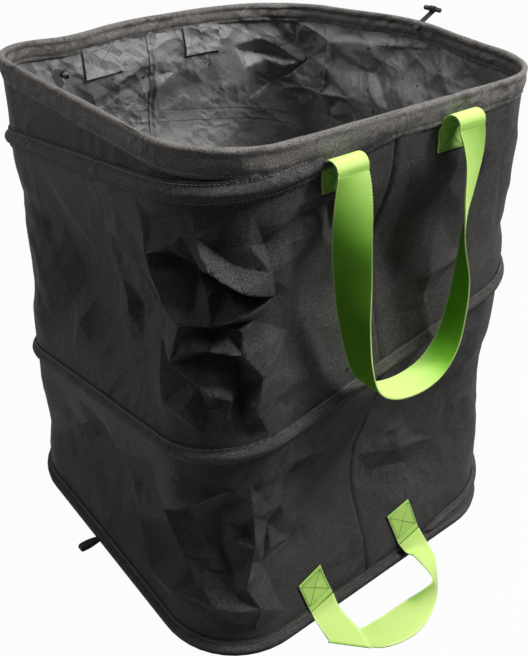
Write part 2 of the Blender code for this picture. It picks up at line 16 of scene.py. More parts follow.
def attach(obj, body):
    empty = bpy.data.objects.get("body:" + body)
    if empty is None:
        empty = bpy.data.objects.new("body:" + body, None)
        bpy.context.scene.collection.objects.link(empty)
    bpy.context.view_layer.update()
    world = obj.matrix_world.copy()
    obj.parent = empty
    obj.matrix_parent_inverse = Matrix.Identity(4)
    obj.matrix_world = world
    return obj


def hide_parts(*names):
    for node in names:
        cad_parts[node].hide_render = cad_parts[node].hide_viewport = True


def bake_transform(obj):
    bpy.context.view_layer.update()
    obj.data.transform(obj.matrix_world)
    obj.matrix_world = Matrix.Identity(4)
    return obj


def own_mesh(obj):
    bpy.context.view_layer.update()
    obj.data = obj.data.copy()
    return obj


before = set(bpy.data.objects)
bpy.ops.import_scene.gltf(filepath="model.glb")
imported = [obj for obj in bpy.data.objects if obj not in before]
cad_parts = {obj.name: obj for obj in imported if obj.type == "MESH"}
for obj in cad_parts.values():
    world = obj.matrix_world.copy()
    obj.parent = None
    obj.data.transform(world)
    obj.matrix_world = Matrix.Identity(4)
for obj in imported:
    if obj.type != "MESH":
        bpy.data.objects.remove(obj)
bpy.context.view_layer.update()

# Camera, floor and lights
# A bag photographed from above one corner on a white studio floor. The main light comes from
# high on the right and front, with a weaker one from behind on the left and one overhead.
CAMERA_LENS = 43.80
CAMERA_DISTANCE = 1.12
CAMERA_TARGET = (-0.0004, -0.0163, 0.2775)
CAMERA_AZIMUTH, CAMERA_ELEVATION, CAMERA_ROLL = -38.313, 33.532, 0.216


def aim_camera():
    """The camera, turned round the bag, raised and slightly rolled."""
    camera_data = bpy.data.cameras.new("camera")
    camera_data.lens = CAMERA_LENS
    camera_data.clip_end = 20.0
    camera = bpy.data.objects.new("camera", camera_data)
    bpy.context.scene.collection.objects.link(camera)
    azimuth, elevation = math.radians(CAMERA_AZIMUTH), math.radians(CAMERA_ELEVATION)
    roll = math.radians(CAMERA_ROLL)
    flat = math.cos(elevation)
    back = Vector((math.sin(azimuth) * flat, -math.cos(azimuth) * flat, math.sin(elevation)))
    right = Vector((math.cos(azimuth), math.sin(azimuth), 0.0))
    up = back.cross(right)
    rolled_right = right * math.cos(roll) + up * math.sin(roll)
    rolled_up = up * math.cos(roll) - right * math.sin(roll)
    turned = Matrix((rolled_right, rolled_up, back)).transposed().to_4x4()
    camera.matrix_world = Matrix.Translation(Vector(CAMERA_TARGET) + back * CAMERA_DISTANCE) @ turned
    bpy.context.scene.camera = camera


def new_material(name):
    """A material with its nodes, its Principled shader and a short way to add nodes."""
    made = bpy.data.materials.new(name)
    made.use_nodes = True
    tree = made.node_tree
    shader = tree.nodes["Principled BSDF"]

    def node(kind, **inputs):
        added = tree.nodes.new(kind)
        for key, value in inputs.items():
            name_of_input = key.replace("_", " ")
            if isinstance(value, bpy.types.NodeSocket):
                tree.links.new(value, added.inputs[name_of_input])
            else:
                added.inputs[name_of_input].default_value = value
        return added

    return made, tree, shader, node


def white_where_seen(tree, output, lit, strength, share):
    """Mixes a lit surface with plain white where the camera, a reflection or glass sees it."""
    path = tree.nodes.new("ShaderNodeLightPath")
    seen = path.outputs["Is Camera Ray"]
    for other in ("Is Glossy Ray", "Is Transmission Ray"):
        widest = tree.nodes.new("ShaderNodeMath")
        widest.operation = "MAXIMUM"
        tree.links.new(seen, widest.inputs[0])
        tree.links.new(path.outputs[other], widest.inputs[1])
        seen = widest.outputs[0]
    part = tree.nodes.new("ShaderNodeMath")
    part.operation = "MULTIPLY"
    tree.links.new(seen, part.inputs[0])
    part.inputs[1].default_value = share
    if tree.nodes.get("Background"):
        white = tree.nodes.new("ShaderNodeBackground")
    else:
        white = tree.nodes.new("ShaderNodeEmission")
    white.inputs["Color"].default_value = (1.0, 1.0, 1.0, 1.0)
    white.inputs["Strength"].default_value = strength
    mix = tree.nodes.new("ShaderNodeMixShader")
    tree.links.new(part.outputs[0], mix.inputs[0])
    tree.links.new(lit, mix.inputs[1])
    tree.links.new(white.outputs[0], mix.inputs[2])
    tree.links.new(mix.outputs[0], output)


def lay_floor():
    """The pale floor the bag stands on."""
    mesh = bmesh.new()
    bmesh.ops.create_grid(mesh, x_segments=1, y_segments=1, size=12.0)
    data = bpy.data.meshes.new("floor")
    mesh.to_mesh(data)
    mesh.free()
    floor = bpy.data.objects.new("floor", data)
    floor.location.z = -0.0006
    bpy.context.scene.collection.objects.link(floor)
    made, tree, shader, _ = new_material("floor_white")
    shader.inputs["Base Color"].default_value = (0.17, 0.17, 0.17, 1.0)
    shader.inputs["Roughness"].default_value = 0.9
    shader.inputs["Specular IOR Level"].default_value = 0.1
    output = tree.nodes["Material Output"].inputs["Surface"]
    white_where_seen(tree, output, shader.outputs[0], 1.0, 0.97)
    data.materials.append(made)


def hang_lights():
    """Three soft boxes and an even white surround."""
    for name, place, size, power in (
        ("key_box", (1.20, -1.25, 2.45), 0.6, 68.0),
        ("back_box", (-1.90, 1.20, 2.70), 0.8, 18.0),
        ("top_box", (0.15, -0.60, 2.90), 0.6, 40.0),
    ):
        lamp_data = bpy.data.lights.new(name, "AREA")
        lamp_data.size = size
        lamp_data.energy = power
        lamp = bpy.data.objects.new(name, lamp_data)
        lamp.location = place
        aim = Vector((0.0, 0.0, 0.30)) - Vector(place)
        lamp.rotation_mode = "QUATERNION"
        lamp.rotation_quaternion = aim.to_track_quat("-Z", "Y")
        bpy.context.scene.collection.objects.link(lamp)
    world = bpy.data.worlds.new("surround")
    bpy.context.scene.world = world
    world.use_nodes = True
    tree = world.node_tree
    even = tree.nodes["Background"]
    even.inputs["Color"].default_value = (1.0, 1.0, 1.0, 1.0)
    even.inputs["Strength"].default_value = 0.035
    output = tree.nodes["World Output"].inputs["Surface"]
    white_where_seen(tree, output, even.outputs[0], 1.0, 1.0)


aim_camera()
lay_floor()
hang_lights()
bpy.context.scene.view_settings.view_transform = "Standard"

# Wall panels
# Two panels of coated charcoal polyester, each round two corners and sewn to the other at the
# front and the back. Hoops and coil hold them taut, and between those the fabric falls inwards
# in soft hollows, with creases from the corners and a crumpled, glossier coated inside.
# The taut bag's height, and its half width and corner radius at the base and at the rim
HEIGHT = 0.650
BASE_HALF, RIM_HALF = 0.266, 0.241
BASE_CORNER, RIM_CORNER = 0.104, 0.092
# Share of each side's turns that its two rounded ends take
CORNER_SHARE = 0.32
FABRIC = 0.0009
WALL_BOTTOM, WALL_TOP = 0.0022, 0.6400
# The coil's ends in turns, how much faster it drops further on, and the heights of its ends
COIL_START, COIL_END, COIL_OPENING = 0.200, 2.065, 1.15
COIL_TOP, COIL_BOTTOM = 0.6185, 0.030
# Middle of the handles to the right of the bag's middle; the front seam runs beside it
FRONT_MIDDLE, BACK_MIDDLE = -0.024, 0.0
FRONT_SEAM_ASIDE = 0.009
# Where the springy rim stands off a true square: turn, width in turns, out, up
RIM_BENDS = (
    (0.880, 0.055, 0.016, 0.0050),
    (0.745, 0.045, -0.010, -0.0030),
    (0.548, 0.040, -0.016, -0.0040),
)


def between(low, high, share):
    return low + (high - low) * share


def ease(low, high, value):
    """0 below low and 1 above high, smooth in between."""
    share = max(0.0, min(1.0, (value - low) / (high - low)))
    return share * share * (3 - 2 * share)


def wall_half(height):
    """Half the taut bag's width at a height."""
    return between(BASE_HALF, RIM_HALF, height / HEIGHT)


def corner_radius(height):
    """Radius of the taut bag's corners at a height."""
    return between(BASE_CORNER, RIM_CORNER, height / HEIGHT)


def side_frame(side):
    """Outward and onward directions of a side: 0 front, 1 left, 2 back, 3 right."""
    outward = ((0, -1), (-1, 0), (0, 1), (1, 0))[side]
    onward = ((-1, 0), (0, 1), (1, 0), (0, -1))[side]
    return Vector(outward), Vector(onward)


def outline(turn, half, radius):
    """Point and outward direction on a rounded square, at a share of a turn."""
    quarters = (turn % 1.0) * 4
    side = int(quarters) % 4
    share = quarters - int(quarters)
    outward, onward = side_frame(side)
    corner = 0.5 * CORNER_SHARE
    flat = half - radius
    if corner <= share <= 1 - corner:
        along = between(-flat, flat, (share - corner) / (1 - 2 * corner))
        return outward * half + onward * along, outward
    end = -1 if share < corner else 1
    from_flat = (corner - share) if share < corner else (share - (1 - corner))
    angle = math.radians(45) * from_flat / corner
    normal = outward * math.cos(angle) + onward * (end * math.sin(angle))
    return (outward + onward * end) * flat + normal * radius, normal


def side_turn(side, along, height):
    """The share of a turn at a distance along a side from its middle."""
    flat = wall_half(height) - corner_radius(height)
    share = between(0.5 * CORNER_SHARE, 1 - 0.5 * CORNER_SHARE, 0.5 + 0.5 * along / flat)
    return (side + share) / 4


FRONT_SEAM = side_turn(0, -FRONT_MIDDLE - FRONT_SEAM_ASIDE, HEIGHT)
BACK_SEAM = side_turn(2, BACK_MIDDLE, HEIGHT)


def apart(first, second):
    """Distance between two places round the bag, in turns."""
    gap = abs(first - second) % 1.0
    return min(gap, 1.0 - gap)


def rim_bend(turn, height):
    """How far out and up the bent rim takes the outline, none of it below the coil."""
    out, up = 0.0, 0.0
    fade = ease(0.42, 0.63, height)
    for place, width, outwards, upwards in RIM_BENDS:
        strength = fade * math.exp(-((apart(turn, place) / width) ** 2))
        out += outwards * strength
        up += upwards * strength
    return out, up


def coil_height(turn):
    """Height of the coil's centre at a place counted in turns from the front right corner."""
    share = (turn - COIL_START) / (COIL_END - COIL_START)
    return between(COIL_TOP, COIL_BOTTOM, max(0.0, share) ** COIL_OPENING)


def held_heights(turn):
    """Heights at which a wire holds the wall out, at a share of a turn."""
    held = [0.0, HEIGHT]
    for lap in range(3):
        height = coil_height(max(COIL_START, turn % 1.0 + lap))
        if height > 0.0012:
            held.append(height)
    return sorted(held)


def hollow(turn, height):
    """How far the taut wall falls inwards, and how loose it is there."""
    held = held_heights(turn)
    for low, high in zip(held, held[1:]):
        if low <= height <= high:
            break
    span = max(0.0, high - low - 0.080)
    share = (height - low) / (high - low)
    loose = math.sin(math.pi * share) ** 2
    across = abs(math.sin(math.pi * ((turn * 4) % 1.0))) ** 1.5
    return 0.15 * span * between(0.15, 1.0, across) * loose, loose * min(1.0, span / 0.15)


# The way round the bag, and how far a crease stands out for each 1 in the list, near and far
PERIMETER = 1.75
NEAR_DEPTH, FAR_DEPTH = 0.0016, 0.0009
# Creases seen in the fabric, as runs of places: turn, height, and how far out they stand
CREASES = (
    # between the upper two rounds of the coil, at the near corner
    ((0.306, 0.590, 0), (0.295, 0.558, 5), (0.289, 0.537, 8), (0.287, 0.514, 9), (0.281, 0.487, 8)),
    ((0.281, 0.487, 8), (0.271, 0.477, 10), (0.252, 0.483, 9), (0.232, 0.490, 7), (0.214, 0.494, 0)),
    ((0.289, 0.537, 8), (0.283, 0.534, -7), (0.265, 0.523, -13), (0.246, 0.511, -14)),
    ((0.246, 0.511, -14), (0.228, 0.499, -11), (0.214, 0.494, 0), (0.206, 0.497, 2)),
    ((0.262, 0.590, 2), (0.259, 0.566, 8), (0.250, 0.540, 12), (0.236, 0.519, 13)),
    ((0.236, 0.519, 13), (0.224, 0.507, 9), (0.214, 0.494, 0)),
    ((0.292, 0.566, -4), (0.278, 0.576, -10), (0.267, 0.586, -8)),
    ((0.283, 0.534, -7), (0.273, 0.553, 5), (0.267, 0.566, 3)),
    ((0.233, 0.560, 3), (0.222, 0.530, 6), (0.219, 0.516, 3)),
    ((0.286, 0.470, 2), (0.277, 0.420, 8), (0.272, 0.467, 5)),
    ((0.262, 0.461, -8), (0.246, 0.470, -7), (0.228, 0.474, -3)),
    ((0.277, 0.420, 8), (0.266, 0.440, 5), (0.253, 0.453, 8), (0.236, 0.446, 8)),
    ((0.236, 0.446, 8), (0.227, 0.416, 8), (0.231, 0.378, 7), (0.222, 0.341, 4)),
    ((0.262, 0.429, -9), (0.250, 0.434, -12), (0.240, 0.428, -13), (0.238, 0.390, -13)),
    ((0.238, 0.390, -13), (0.236, 0.352, -12), (0.224, 0.322, -4)),
    ((0.277, 0.420, 8), (0.268, 0.411, 5), (0.252, 0.398, 8), (0.243, 0.390, 4)),
    ((0.268, 0.411, 5), (0.266, 0.385, -8), (0.256, 0.366, -7), (0.248, 0.350, -2)),
    ((0.300, 0.362, 1), (0.284, 0.366, 6), (0.270, 0.366, 8), (0.258, 0.340, 4)),
    ((0.282, 0.392, -8), (0.274, 0.384, -9)),
    # the same, further round to the left
    ((0.322, 0.490, 0), (0.304, 0.482, -7), (0.297, 0.470, -5)),
    ((0.316, 0.500, 4), (0.300, 0.493, 4)),
    ((0.344, 0.450, 2), (0.338, 0.420, -5), (0.330, 0.394, -2)),
    ((0.352, 0.446, 4), (0.344, 0.412, 4), (0.340, 0.380, 0)),
    ((0.440, 0.380, 0), (0.414, 0.392, -5), (0.390, 0.408, -2)),
    ((0.424, 0.362, -2), (0.404, 0.348, 5), (0.388, 0.330, 1)),
    ((0.356, 0.512, 1), (0.332, 0.520, 5), (0.306, 0.518, 1)),
    ((0.420, 0.540, 0), (0.398, 0.505, 4), (0.382, 0.458, 3), (0.372, 0.420, 0)),
    ((0.462, 0.500, 0), (0.448, 0.450, -4), (0.440, 0.410, 0)),
    # below the lower round, left and near corner
    ((0.440, 0.200, 0), (0.400, 0.196, 5), (0.350, 0.210, 7), (0.290, 0.206, 9)),
    ((0.400, 0.170, -3), (0.350, 0.176, -6), (0.306, 0.180, -5)),
    ((0.290, 0.206, 9), (0.276, 0.160, 8), (0.262, 0.112, 7), (0.254, 0.088, 8)),
    ((0.290, 0.206, 9), (0.268, 0.236, 7), (0.243, 0.268, 1)),
    ((0.368, 0.150, 0), (0.340, 0.110, 6), (0.312, 0.066, 8)),
    ((0.312, 0.066, 8), (0.284, 0.076, 8), (0.254, 0.088, 8), (0.240, 0.058, 4)),
    ((0.336, 0.076, -4), (0.318, 0.040, -3)),
    ((0.300, 0.120, -6), (0.282, 0.104, -7), (0.272, 0.094, -4)),
    ((0.233, 0.280, 1), (0.232, 0.230, 7), (0.231, 0.180, 8), (0.236, 0.118, 8)),
    ((0.236, 0.118, 8), (0.228, 0.080, 8), (0.231, 0.030, 2)),
    ((0.252, 0.230, -6), (0.252, 0.170, -7), (0.246, 0.130, -5)),
    ((0.218, 0.190, -4), (0.222, 0.130, -5), (0.216, 0.080, -2)),
    # the front wall
    ((0.210, 0.266, 0), (0.190, 0.258, -7), (0.170, 0.256, 0)),
    ((0.206, 0.284, 3), (0.186, 0.276, 4)),
    ((0.196, 0.234, 0), (0.204, 0.250, -5)),
    ((0.204, 0.578, 0), (0.190, 0.554, 6), (0.178, 0.530, 2)),
    ((0.182, 0.574, -2), (0.172, 0.548, -4), (0.160, 0.520, 0)),
    ((0.125, 0.436, 0), (0.092, 0.440, 6), (0.053, 0.456, 2)),
    ((0.120, 0.408, -2), (0.090, 0.414, -4)),
    ((0.100, 0.372, 0), (0.066, 0.382, 5), (0.030, 0.392, 0)),
    ((0.128, 0.520, 0), (0.104, 0.450, -5), (0.090, 0.400, -4), (0.078, 0.356, 0)),
    ((0.198, 0.110, 0), (0.172, 0.116, 4), (0.148, 0.124, 0)),
    ((0.130, 0.190, 0), (0.096, 0.176, 6), (0.060, 0.164, 1)),
    ((0.116, 0.150, -3), (0.080, 0.136, -4), (0.050, 0.120, 0)),
    ((0.180, 0.430, 0), (0.172, 0.390, -4), (0.176, 0.340, 0)),
    ((0.232, 0.592, 3), (0.206, 0.590, 7), (0.178, 0.592, 6), (0.150, 0.596, 5), (0.120, 0.600, 3)),
    ((0.120, 0.600, 3), (0.104, 0.592, 7), (0.080, 0.594, 8), (0.050, 0.598, 5), (0.020, 0.600, 2)),
    ((0.104, 0.592, 7), (0.096, 0.556, 3), (0.100, 0.520, -3)),
    # inside, on the two far walls
    ((0.740, 0.632, 0), (0.770, 0.622, -7), (0.803, 0.606, -9), (0.850, 0.611, -6), (0.904, 0.622, 0)),
    ((0.803, 0.606, -9), (0.776, 0.576, 9), (0.742, 0.532, 8), (0.715, 0.500, 2)),
    ((0.803, 0.606, -9), (0.802, 0.570, -6), (0.797, 0.527, -10)),
    ((0.742, 0.532, 8), (0.770, 0.530, -4), (0.797, 0.527, -10), (0.834, 0.532, -8), (0.874, 0.536, 0)),
    ((0.797, 0.527, -10), (0.784, 0.490, 6), (0.766, 0.462, 4)),
    ((0.820, 0.580, 7), (0.850, 0.570, 8), (0.880, 0.572, 4)),
    ((0.904, 0.622, 0), (0.918, 0.600, -7), (0.932, 0.576, 0)),
    ((0.940, 0.612, 5), (0.962, 0.590, 5), (0.968, 0.560, 0)),
    ((0.560, 0.552, 0), (0.586, 0.572, -9), (0.616, 0.590, -2)),
    ((0.570, 0.544, 5), (0.600, 0.560, 6), (0.622, 0.574, 2)),
    ((0.606, 0.544, 2), (0.626, 0.558, -7), (0.644, 0.572, 0)),
    ((0.664, 0.492, 0), (0.676, 0.522, 7), (0.690, 0.546, -2), (0.712, 0.560, -8), (0.736, 0.568, 0)),
    ((0.716, 0.580, 8), (0.742, 0.574, 8), (0.768, 0.566, 2)),
    ((0.700, 0.594, -6), (0.730, 0.600, -4), (0.752, 0.606, 2)),
    ((0.690, 0.500, -6), (0.706, 0.524, -5), (0.728, 0.540, 4)),
    ((0.510, 0.560, 5), (0.530, 0.590, -4), (0.545, 0.610, 0)),
)
# The smaller creases: how many are tried, and their widest gap and depth on calm fabric
SMALL_CREASES = 6500
CALM = (0.054, 0.0042)
# Where it differs: turn, reach in turns, widest gap and depth
CRUMPLED = ((0.25, 0.060, 0.019, 0.0050), (0.78, 0.085, 0.019, 0.0064), (0.60, 0.070, 0.085, 0.0030))


def facet_surface():
    """The crumpled fabric as facets over distance and height, and the creases between them."""
    rng = random.Random(41)
    places, edges = [], []
    for run in CREASES:
        first = len(places)
        for turn, height, out in run:
            depth = NEAR_DEPTH if turn < 0.5 else FAR_DEPTH
            places.append((turn * PERIMETER, height, depth * out))
        edges += [(first + step, first + step + 1) for step in range(len(run) - 1)]
    for _ in range(SMALL_CREASES):
        u, v = rng.uniform(0.0, PERIMETER), rng.uniform(0.0, HEIGHT)
        gap, deep = CALM
        for place, width, gap_there, deep_there in CRUMPLED:
            share = math.exp(-(((u / PERIMETER - place) / width) ** 2))
            gap, deep = between(gap, gap_there, share), between(deep, deep_there, share)
        gap *= rng.uniform(0.5, 1.0)
        if all((u - other[0]) ** 2 + (v - other[1]) ** 2 > gap * gap for other in places):
            places.append((u, v, rng.uniform(-1.0, 1.0) * deep))
    count = len(places)
    for shift in (-PERIMETER, PERIMETER):
        kept = {}
        for index in range(count):
            u, v, out = places[index]
            if -0.2 < u + shift < PERIMETER + 0.2:
                kept[index] = len(places)
                places.append((u + shift, v, out))
        edges += [(kept[a], kept[b]) for a, b in edges if a in kept and b in kept]
    flat = [Vector(place[:2]) for place in places]
    made = geometry.delaunay_2d_cdt(flat, edges, [], 0, 1e-5, True)
    points = []
    for spot, sources in zip(made[0], made[3]):
        if sources:
            out = places[sources[0]][2]
        else:
            near = sorted(places, key=lambda other: (spot - Vector(other[:2])).length)[:3]
            out = sum(other[2] for other in near) / 3
        points.append((spot.x, spot.y, out))
    creases = []
    for start, end in made[1]:
        if 0.0 <= 0.5 * (points[start][0] + points[end][0]) < PERIMETER:
            creases.append((Vector(points[start][:2]), Vector(points[end][:2])))
    return BVHTree.FromPolygons(points, made[2]), creases


FACETS, FACET_EDGES = facet_surface()
STRAY = 0.0028


def wander(distance, height):
    """A place round the bag in space, and how far the creases there stray from straight."""
    around = 2 * math.pi * distance / PERIMETER
    spot = Vector((math.cos(around) * 0.30, math.sin(around) * 0.30, height))
    shifts = (0.0, 31.7, 64.1)
    swirl = [noise.noise(spot * 16.0 + Vector((shift, 0.0, 0.0))) for shift in shifts]
    return spot, Vector(swirl) * STRAY


def crumple(turn, height, loose):
    """How far the loose fabric stands out: facets between creases, then soft and fine waves."""
    distance = (turn % 1.0) * PERIMETER
    spot, stray = wander(distance, height)
    swirl = stray / STRAY
    facet = 0.0
    # A ray that passes just between two facets is sent again from beside them
    for nudge in (0.0, 0.00003, -0.00004):
        start = Vector((distance + stray.x + nudge, height + stray.y + 0.7 * nudge, -1.0))
        hit = FACETS.ray_cast(start, Vector((0.0, 0.0, 1.0)))[0]
        if hit:
            facet = hit.z
            break
    bent = spot + 0.030 * swirl
    total = 0.0026 * noise.noise(Vector((bent.x, bent.y, bent.z * 0.6)) * 9.0)
    total += 0.0014 * (0.5 - 2.2 * abs(noise.noise(bent * 17.0 + Vector((3.1, 6.2, 0.0)))))
    return total * loose + facet * min(1.0, 3.0 * loose)


def wall_point(turn, height, out=0.0):
    """A point on the wall's outer face, or a distance out from it."""
    point, normal = outline(turn, wall_half(height), corner_radius(height))
    depth, loose = hollow(turn, height)
    bend, rise = rim_bend(turn, height)
    point = point + normal * (out + bend - depth + crumple(turn, height, loose))
    return Vector((point.x, point.y, height + rise))


def keep_mesh(name, mesh):
    """Makes a smooth object of a finished mesh."""
    for face in mesh.faces:
        face.smooth = True
    data = bpy.data.meshes.new(name)
    mesh.to_mesh(data)
    mesh.free()
    obj = bpy.data.objects.new(name, data)
    bpy.context.scene.collection.objects.link(obj)
    return obj


def lay_sheet(name, columns, rows, place, closed=False):
    """A mesh object from a grid laid at place(column, row), with a UV map in metres."""
    mesh = bmesh.new()
    bmesh.ops.create_grid(mesh, x_segments=columns - 1, y_segments=rows - 1, size=0.5)
    spots = {}
    for vertex in mesh.verts:
        column = round((vertex.co.x + 0.5) * (columns - 1))
        row = round((vertex.co.y + 0.5) * (rows - 1))
        spots[vertex] = (column, row)
    points = [[place(column, row) for row in range(rows)] for column in range(columns)]
    middle = columns // 2
    up = [0.0]
    for low, high in zip(points[middle], points[middle][1:]):
        up.append(up[-1] + (high - low).length)
    along = [0.0]
    for left, right in zip(points, points[1:]):
        along.append(along[-1] + (right[rows // 2] - left[rows // 2]).length)
    layer = mesh.loops.layers.uv.new("cut")
    for face in mesh.faces:
        for loop in face.loops:
            column, row = spots[loop.vert]
            loop[layer].uv = (along[column], up[row])
    for vertex, (column, row) in spots.items():
        vertex.co = points[column % (columns - 1) if closed else column][row]
    if closed:
        bmesh.ops.remove_doubles(mesh, verts=mesh.verts, dist=1e-6)
    bmesh.ops.reverse_faces(mesh, faces=mesh.faces)
    for edge in mesh.edges:
        edge.smooth = not edge.is_boundary
    return keep_mesh(name, mesh)


def thicken(obj, thickness, side):
    """Gives a sheet its thickness: out from its points, in, or to both sides."""
    shell = obj.modifiers.new("thickness", "SOLIDIFY")
    shell.thickness = thickness
    shell.offset = side
    return shell


def fold_down(obj):
    """Gives a piece sewn to the wall its own copy of its mesh."""
    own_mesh(obj)


def maths(tree, kind, first, second, third=0.0, clamp=False):
    """A maths node on sockets or numbers; gives its output."""
    added = tree.nodes.new("ShaderNodeMath")
    added.operation = kind
    added.use_clamp = clamp
    for socket, value in zip(added.inputs, (first, second, third)):
        if isinstance(value, bpy.types.NodeSocket):
            tree.links.new(value, socket)
        else:
            socket.default_value = value
    return added.outputs[0]


def creased(tree, node, cut, spot, size, slope, below):
    """Sharp shallow facets at two angles, each in patches, on top of a finer relief."""
    total = 0.0
    for angle, kind, shift in ((0.35, "CHEBYCHEV", 0.0), (1.15, "EUCLIDEAN", 3.7)):
        moved = node("ShaderNodeVectorMath", Vector=spot)
        moved.inputs[1].default_value = (shift, shift, shift)
        warp = node("ShaderNodeTexNoise", Vector=moved.outputs[0], Scale=0.45 / size, Detail=2.0)
        patch = node("ShaderNodeTexNoise", Vector=moved.outputs[0], Scale=0.20 / size, Detail=1.0)
        across = maths(tree, "MULTIPLY", cut["X"], math.cos(angle) / size)
        across = maths(tree, "MULTIPLY_ADD", cut["Y"], math.sin(angle) / size, across)
        across = maths(tree, "MULTIPLY_ADD", warp.outputs["Fac"], 1.6, across)
        onward = maths(tree, "MULTIPLY", cut["X"], -0.55 * math.sin(angle) / size)
        onward = maths(tree, "MULTIPLY_ADD", cut["Y"], 0.55 * math.cos(angle) / size, onward)
        flat = node("ShaderNodeCombineXYZ", X=across, Y=onward)
        cells = node("ShaderNodeTexVoronoi")
        cells.voronoi_dimensions = "2D"
        cells.distance = kind
        cells.inputs["Scale"].default_value = 1.0
        tree.links.new(flat.outputs[0], cells.inputs["Vector"])
        mask = maths(tree, "MULTIPLY_ADD", patch.outputs["Fac"], 6.0, -2.6, clamp=True)
        facets = maths(tree, "MULTIPLY", cells.outputs["Distance"], size)
        total = maths(tree, "MULTIPLY_ADD", facets, mask, total)
    height = maths(tree, "MULTIPLY", total, slope)
    folds = node("ShaderNodeBump", Height=height, Distance=1.0, Normal=below)
    folds.inputs["Strength"].default_value = 1.0
    return folds.outputs[0]


def woven(name, light, dark, thread, roughness, relief, gloss=0.2, creases=()):
    """Plain woven fabric on a UV map in metres: threads, slubs, worn patches and creases."""
    made, tree, shader, node = new_material(name)
    spot = node("ShaderNodeTexCoord").outputs
    cut = node("ShaderNodeSeparateXYZ", Vector=spot["UV"]).outputs
    threads = []
    for axis in ("X", "Y"):
        count = maths(tree, "MULTIPLY", cut[axis], 2 * math.pi / thread)
        threads.append(maths(tree, "SINE", count, 0.0))
    over = maths(tree, "MULTIPLY", threads[0], threads[1])
    slub = node("ShaderNodeTexNoise", Vector=spot["Object"], Scale=800.0, Detail=2.0)
    cloud = node("ShaderNodeTexNoise", Vector=spot["Object"], Scale=9.0, Detail=5.0)
    broad = maths(tree, "MULTIPLY_ADD", cloud.outputs["Fac"], 0.30, -0.90)
    wear = maths(tree, "MULTIPLY_ADD", slub.outputs["Fac"], 2.4, broad, clamp=True)
    shade = node("ShaderNodeMix")
    shade.data_type = "RGBA"
    tree.links.new(wear, shade.inputs["Factor"])
    shade.inputs["A"].default_value = (*dark, 1.0)
    shade.inputs["B"].default_value = (*light, 1.0)
    tree.links.new(shade.outputs["Result"], shader.inputs["Base Color"])
    shader.inputs["Roughness"].default_value = roughness
    shader.inputs["Specular IOR Level"].default_value = gloss
    fine = maths(tree, "MULTIPLY_ADD", slub.outputs["Fac"], 2.0, over)
    weave = node("ShaderNodeBump", Height=fine, Distance=relief)
    weave.inputs["Strength"].default_value = 0.8
    normal = weave.outputs[0]
    for size, slope in creases:
        normal = creased(tree, node, cut, spot["Object"], size, slope, normal)
    tree.links.new(normal, shader.inputs["Normal"])
    return made


OUTER_FABRIC = woven(
    "outer_fabric",
    (0.115, 0.112, 0.110),
    (0.022, 0.0215, 0.021),
    thread=0.0012,
    roughness=0.50,
    relief=0.00030,
    gloss=0.04,
    creases=((0.024, 0.20),),
)
COATED_INSIDE = woven(
    "coated_inside",
    (0.290, 0.290, 0.287),
    (0.140, 0.140, 0.139),
    thread=0.0012,
    roughness=0.34,
    relief=0.00010,
    gloss=0.32,
    creases=((0.034, 0.22), (0.012, 0.20)),
)


def seam_pull(turn, seam):
    """How deep the fabric is drawn in beside a seam."""
    metres = apart(turn, seam) * PERIMETER
    return 0.0026 * math.exp(-((metres / 0.0022) ** 2))


def crease_pieces(columns, heights):
    """The creases that lie within a panel, in short pieces that wander like the fabric's."""
    piece_length, margin = 0.008, 0.002
    pieces = []
    for shift in (0.0, PERIMETER):
        for start, end in FACET_EDGES:
            count = max(1, round((end - start).length / piece_length))
            run = []
            for step in range(count + 1):
                straight = start.lerp(end, step / count)
                spot = straight.copy()
                for _ in range(3):
                    spot = straight - wander(*spot)[1].xy
                run.append(Vector((spot.x + shift, spot.y)))
            for first, second in zip(run, run[1:]):
                if all(
                    columns[0] * PERIMETER + margin < spot.x < columns[-1] * PERIMETER - margin
                    and heights[0] + margin < spot.y < heights[-1] - margin
                    for spot in (first, second)
                ):
                    pieces.append((first, second))
    return pieces


SHARP_CREASE = math.radians(7)


def lay_creased(name, columns, heights):
    """A panel with an edge along every crease, sharp where the fabric turns sharply."""
    spots = [Vector((turn * PERIMETER, height)) for turn in columns for height in heights]
    edges = []
    for first, second in crease_pieces(columns, heights):
        edges.append((len(spots), len(spots) + 1))
        spots += [first, second]
    flat, _, triangles = geometry.delaunay_2d_cdt(spots, edges, [], 0, 1e-5, False)[:3]
    mesh = bmesh.new()
    layer = mesh.loops.layers.uv.new("cut")
    vertices = []
    for spot in flat:
        turn = spot.x / PERIMETER
        pulled = max(seam_pull(turn, FRONT_SEAM), seam_pull(turn, BACK_SEAM))
        vertices.append(mesh.verts.new(wall_point(turn, spot.y, -pulled)))
    for triangle in triangles:
        face = mesh.faces.new([vertices[index] for index in reversed(triangle)])
        for loop, index in zip(face.loops, reversed(triangle)):
            loop[layer].uv = (1.07 * flat[index].x, 1.02 * flat[index].y)
    for edge in mesh.edges:
        edge.smooth = not edge.is_boundary and edge.calc_face_angle(0.0) < SHARP_CREASE
    return keep_mesh(name, mesh)


